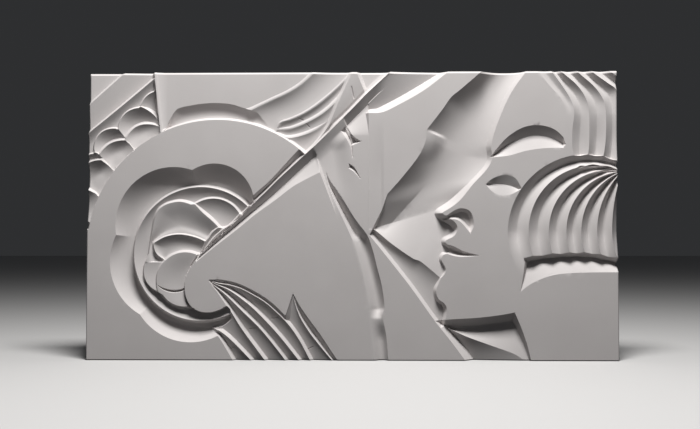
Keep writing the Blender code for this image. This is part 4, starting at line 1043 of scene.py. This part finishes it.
def plaster():
    """Matte warm white plaster: faint clouding, fine grain and a few pinholes."""
    material = bpy.data.materials.new("cast_plaster")
    material.use_nodes = True
    tree = material.node_tree
    shader = tree.nodes["Principled BSDF"]
    place = tree.nodes.new("ShaderNodeTexCoord").outputs["Object"]
    clouding = node(tree, "ShaderNodeTexNoise", Vector=place, Scale=CLOUDING_SCALE, Detail=4.0,
                    Roughness=0.55)
    tint = node(tree, "ShaderNodeValToRGB", Fac=clouding.outputs["Fac"])
    tint.color_ramp.elements[0].position = 0.30
    tint.color_ramp.elements[0].color = PLASTER_SHADE
    tint.color_ramp.elements[1].position = 0.66
    tint.color_ramp.elements[1].color = PLASTER_COLOUR
    grain = node(tree, "ShaderNodeTexNoise", Vector=place, Scale=GRAIN_SCALE, Detail=3.0, Roughness=0.6)
    holes = node(tree, "ShaderNodeTexVoronoi", Vector=place, Scale=PINHOLE_SCALE)
    pit = node(tree, "ShaderNodeMapRange", Value=holes.outputs["Distance"], From_Min=PINHOLE_SIZE[0],
               From_Max=PINHOLE_SIZE[1])
    fine = node(tree, "ShaderNodeBump", Height=grain.outputs["Fac"], Strength=0.12, Distance=GRAIN_HEIGHT)
    deep = node(tree, "ShaderNodeBump", Height=pit.outputs["Result"], Strength=0.25, Distance=PINHOLE_HEIGHT,
                Normal=fine.outputs["Normal"])
    matte = node(tree, "ShaderNodeMapRange", Value=clouding.outputs["Fac"], To_Min=PLASTER_ROUGHNESS[0],
                 To_Max=PLASTER_ROUGHNESS[1])
    feed(tree, shader, Base_Color=tint.outputs["Color"], Roughness=matte.outputs["Result"],
         Specular_IOR_Level=PLASTER_GLOSS, Normal=deep.outputs["Normal"])
    return material


def plaque():
    """The carved plaque, one closed mesh."""
    sheet = relief_sheet()
    mesh = simplified(sheet, SHEET_TRIANGLES)
    close_slab(mesh)
    mesh.name = "carved_plaque"
    mesh.materials.clear()
    mesh.materials.append(plaster())
    mesh.shade_smooth()
    mesh.set_sharp_from_angle(angle=SMOOTH_ANGLE)
    piece = bpy.data.objects.new("carved_plaque", mesh)
    bpy.context.scene.collection.objects.link(piece)
    return piece


def floor():
    """A plain pale floor under the plaque's lower edge."""
    bpy.ops.mesh.primitive_plane_add(size=FLOOR_SIZE, location=(0, 0, LOW_CORNER.z - FLOOR_GAP))
    ground = bpy.context.active_object
    ground.name = "floor"
    material = bpy.data.materials.new("floor")
    material.use_nodes = True
    tree = material.node_tree
    feed(tree, tree.nodes["Principled BSDF"], Base_Color=FLOOR_COLOUR, Roughness=FLOOR_ROUGHNESS)
    ground.data.materials.append(material)
    ground.visible_diffuse = False


def lights():
    """One broad soft light above and in front, and a weak even fill."""
    data = bpy.data.lights.new("key", "AREA")
    data.shape = "RECTANGLE"
    data.size, data.size_y = KEY_SIZE
    data.energy = KEY_POWER
    data.color = KEY_COLOUR
    key = bpy.data.objects.new("key", data)
    key.location = KEY_PLACE
    key.rotation_euler = (Vector(KEY_TARGET) - Vector(KEY_PLACE)).to_track_quat("-Z", "Y").to_euler()
    bpy.context.scene.collection.objects.link(key)
    world = bpy.data.worlds.new("studio")
    world.use_nodes = True
    background = world.node_tree.nodes["Background"]
    background.inputs["Color"].default_value = FILL_COLOUR
    background.inputs["Strength"].default_value = FILL_STRENGTH
    bpy.context.scene.world = world


def camera():
    """The photograph's view: almost straight on, a little below the middle and right of it."""
    data = bpy.data.cameras.new("camera")
    data.sensor_width = CAMERA_SENSOR
    data.lens = CAMERA_LENS
    viewer = bpy.data.objects.new("camera", data)
    viewer.location = CAMERA_PLACE
    viewer.rotation_euler = (math.radians(90 + CAMERA_PITCH), 0.0, math.radians(CAMERA_YAW))
    bpy.context.scene.collection.objects.link(viewer)
    bpy.context.scene.camera = viewer


floor()
lights()
camera()
piece = plaque()
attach(piece, "root")
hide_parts("plaque")
bpy.context.scene.view_settings.view_transform = "Standard"
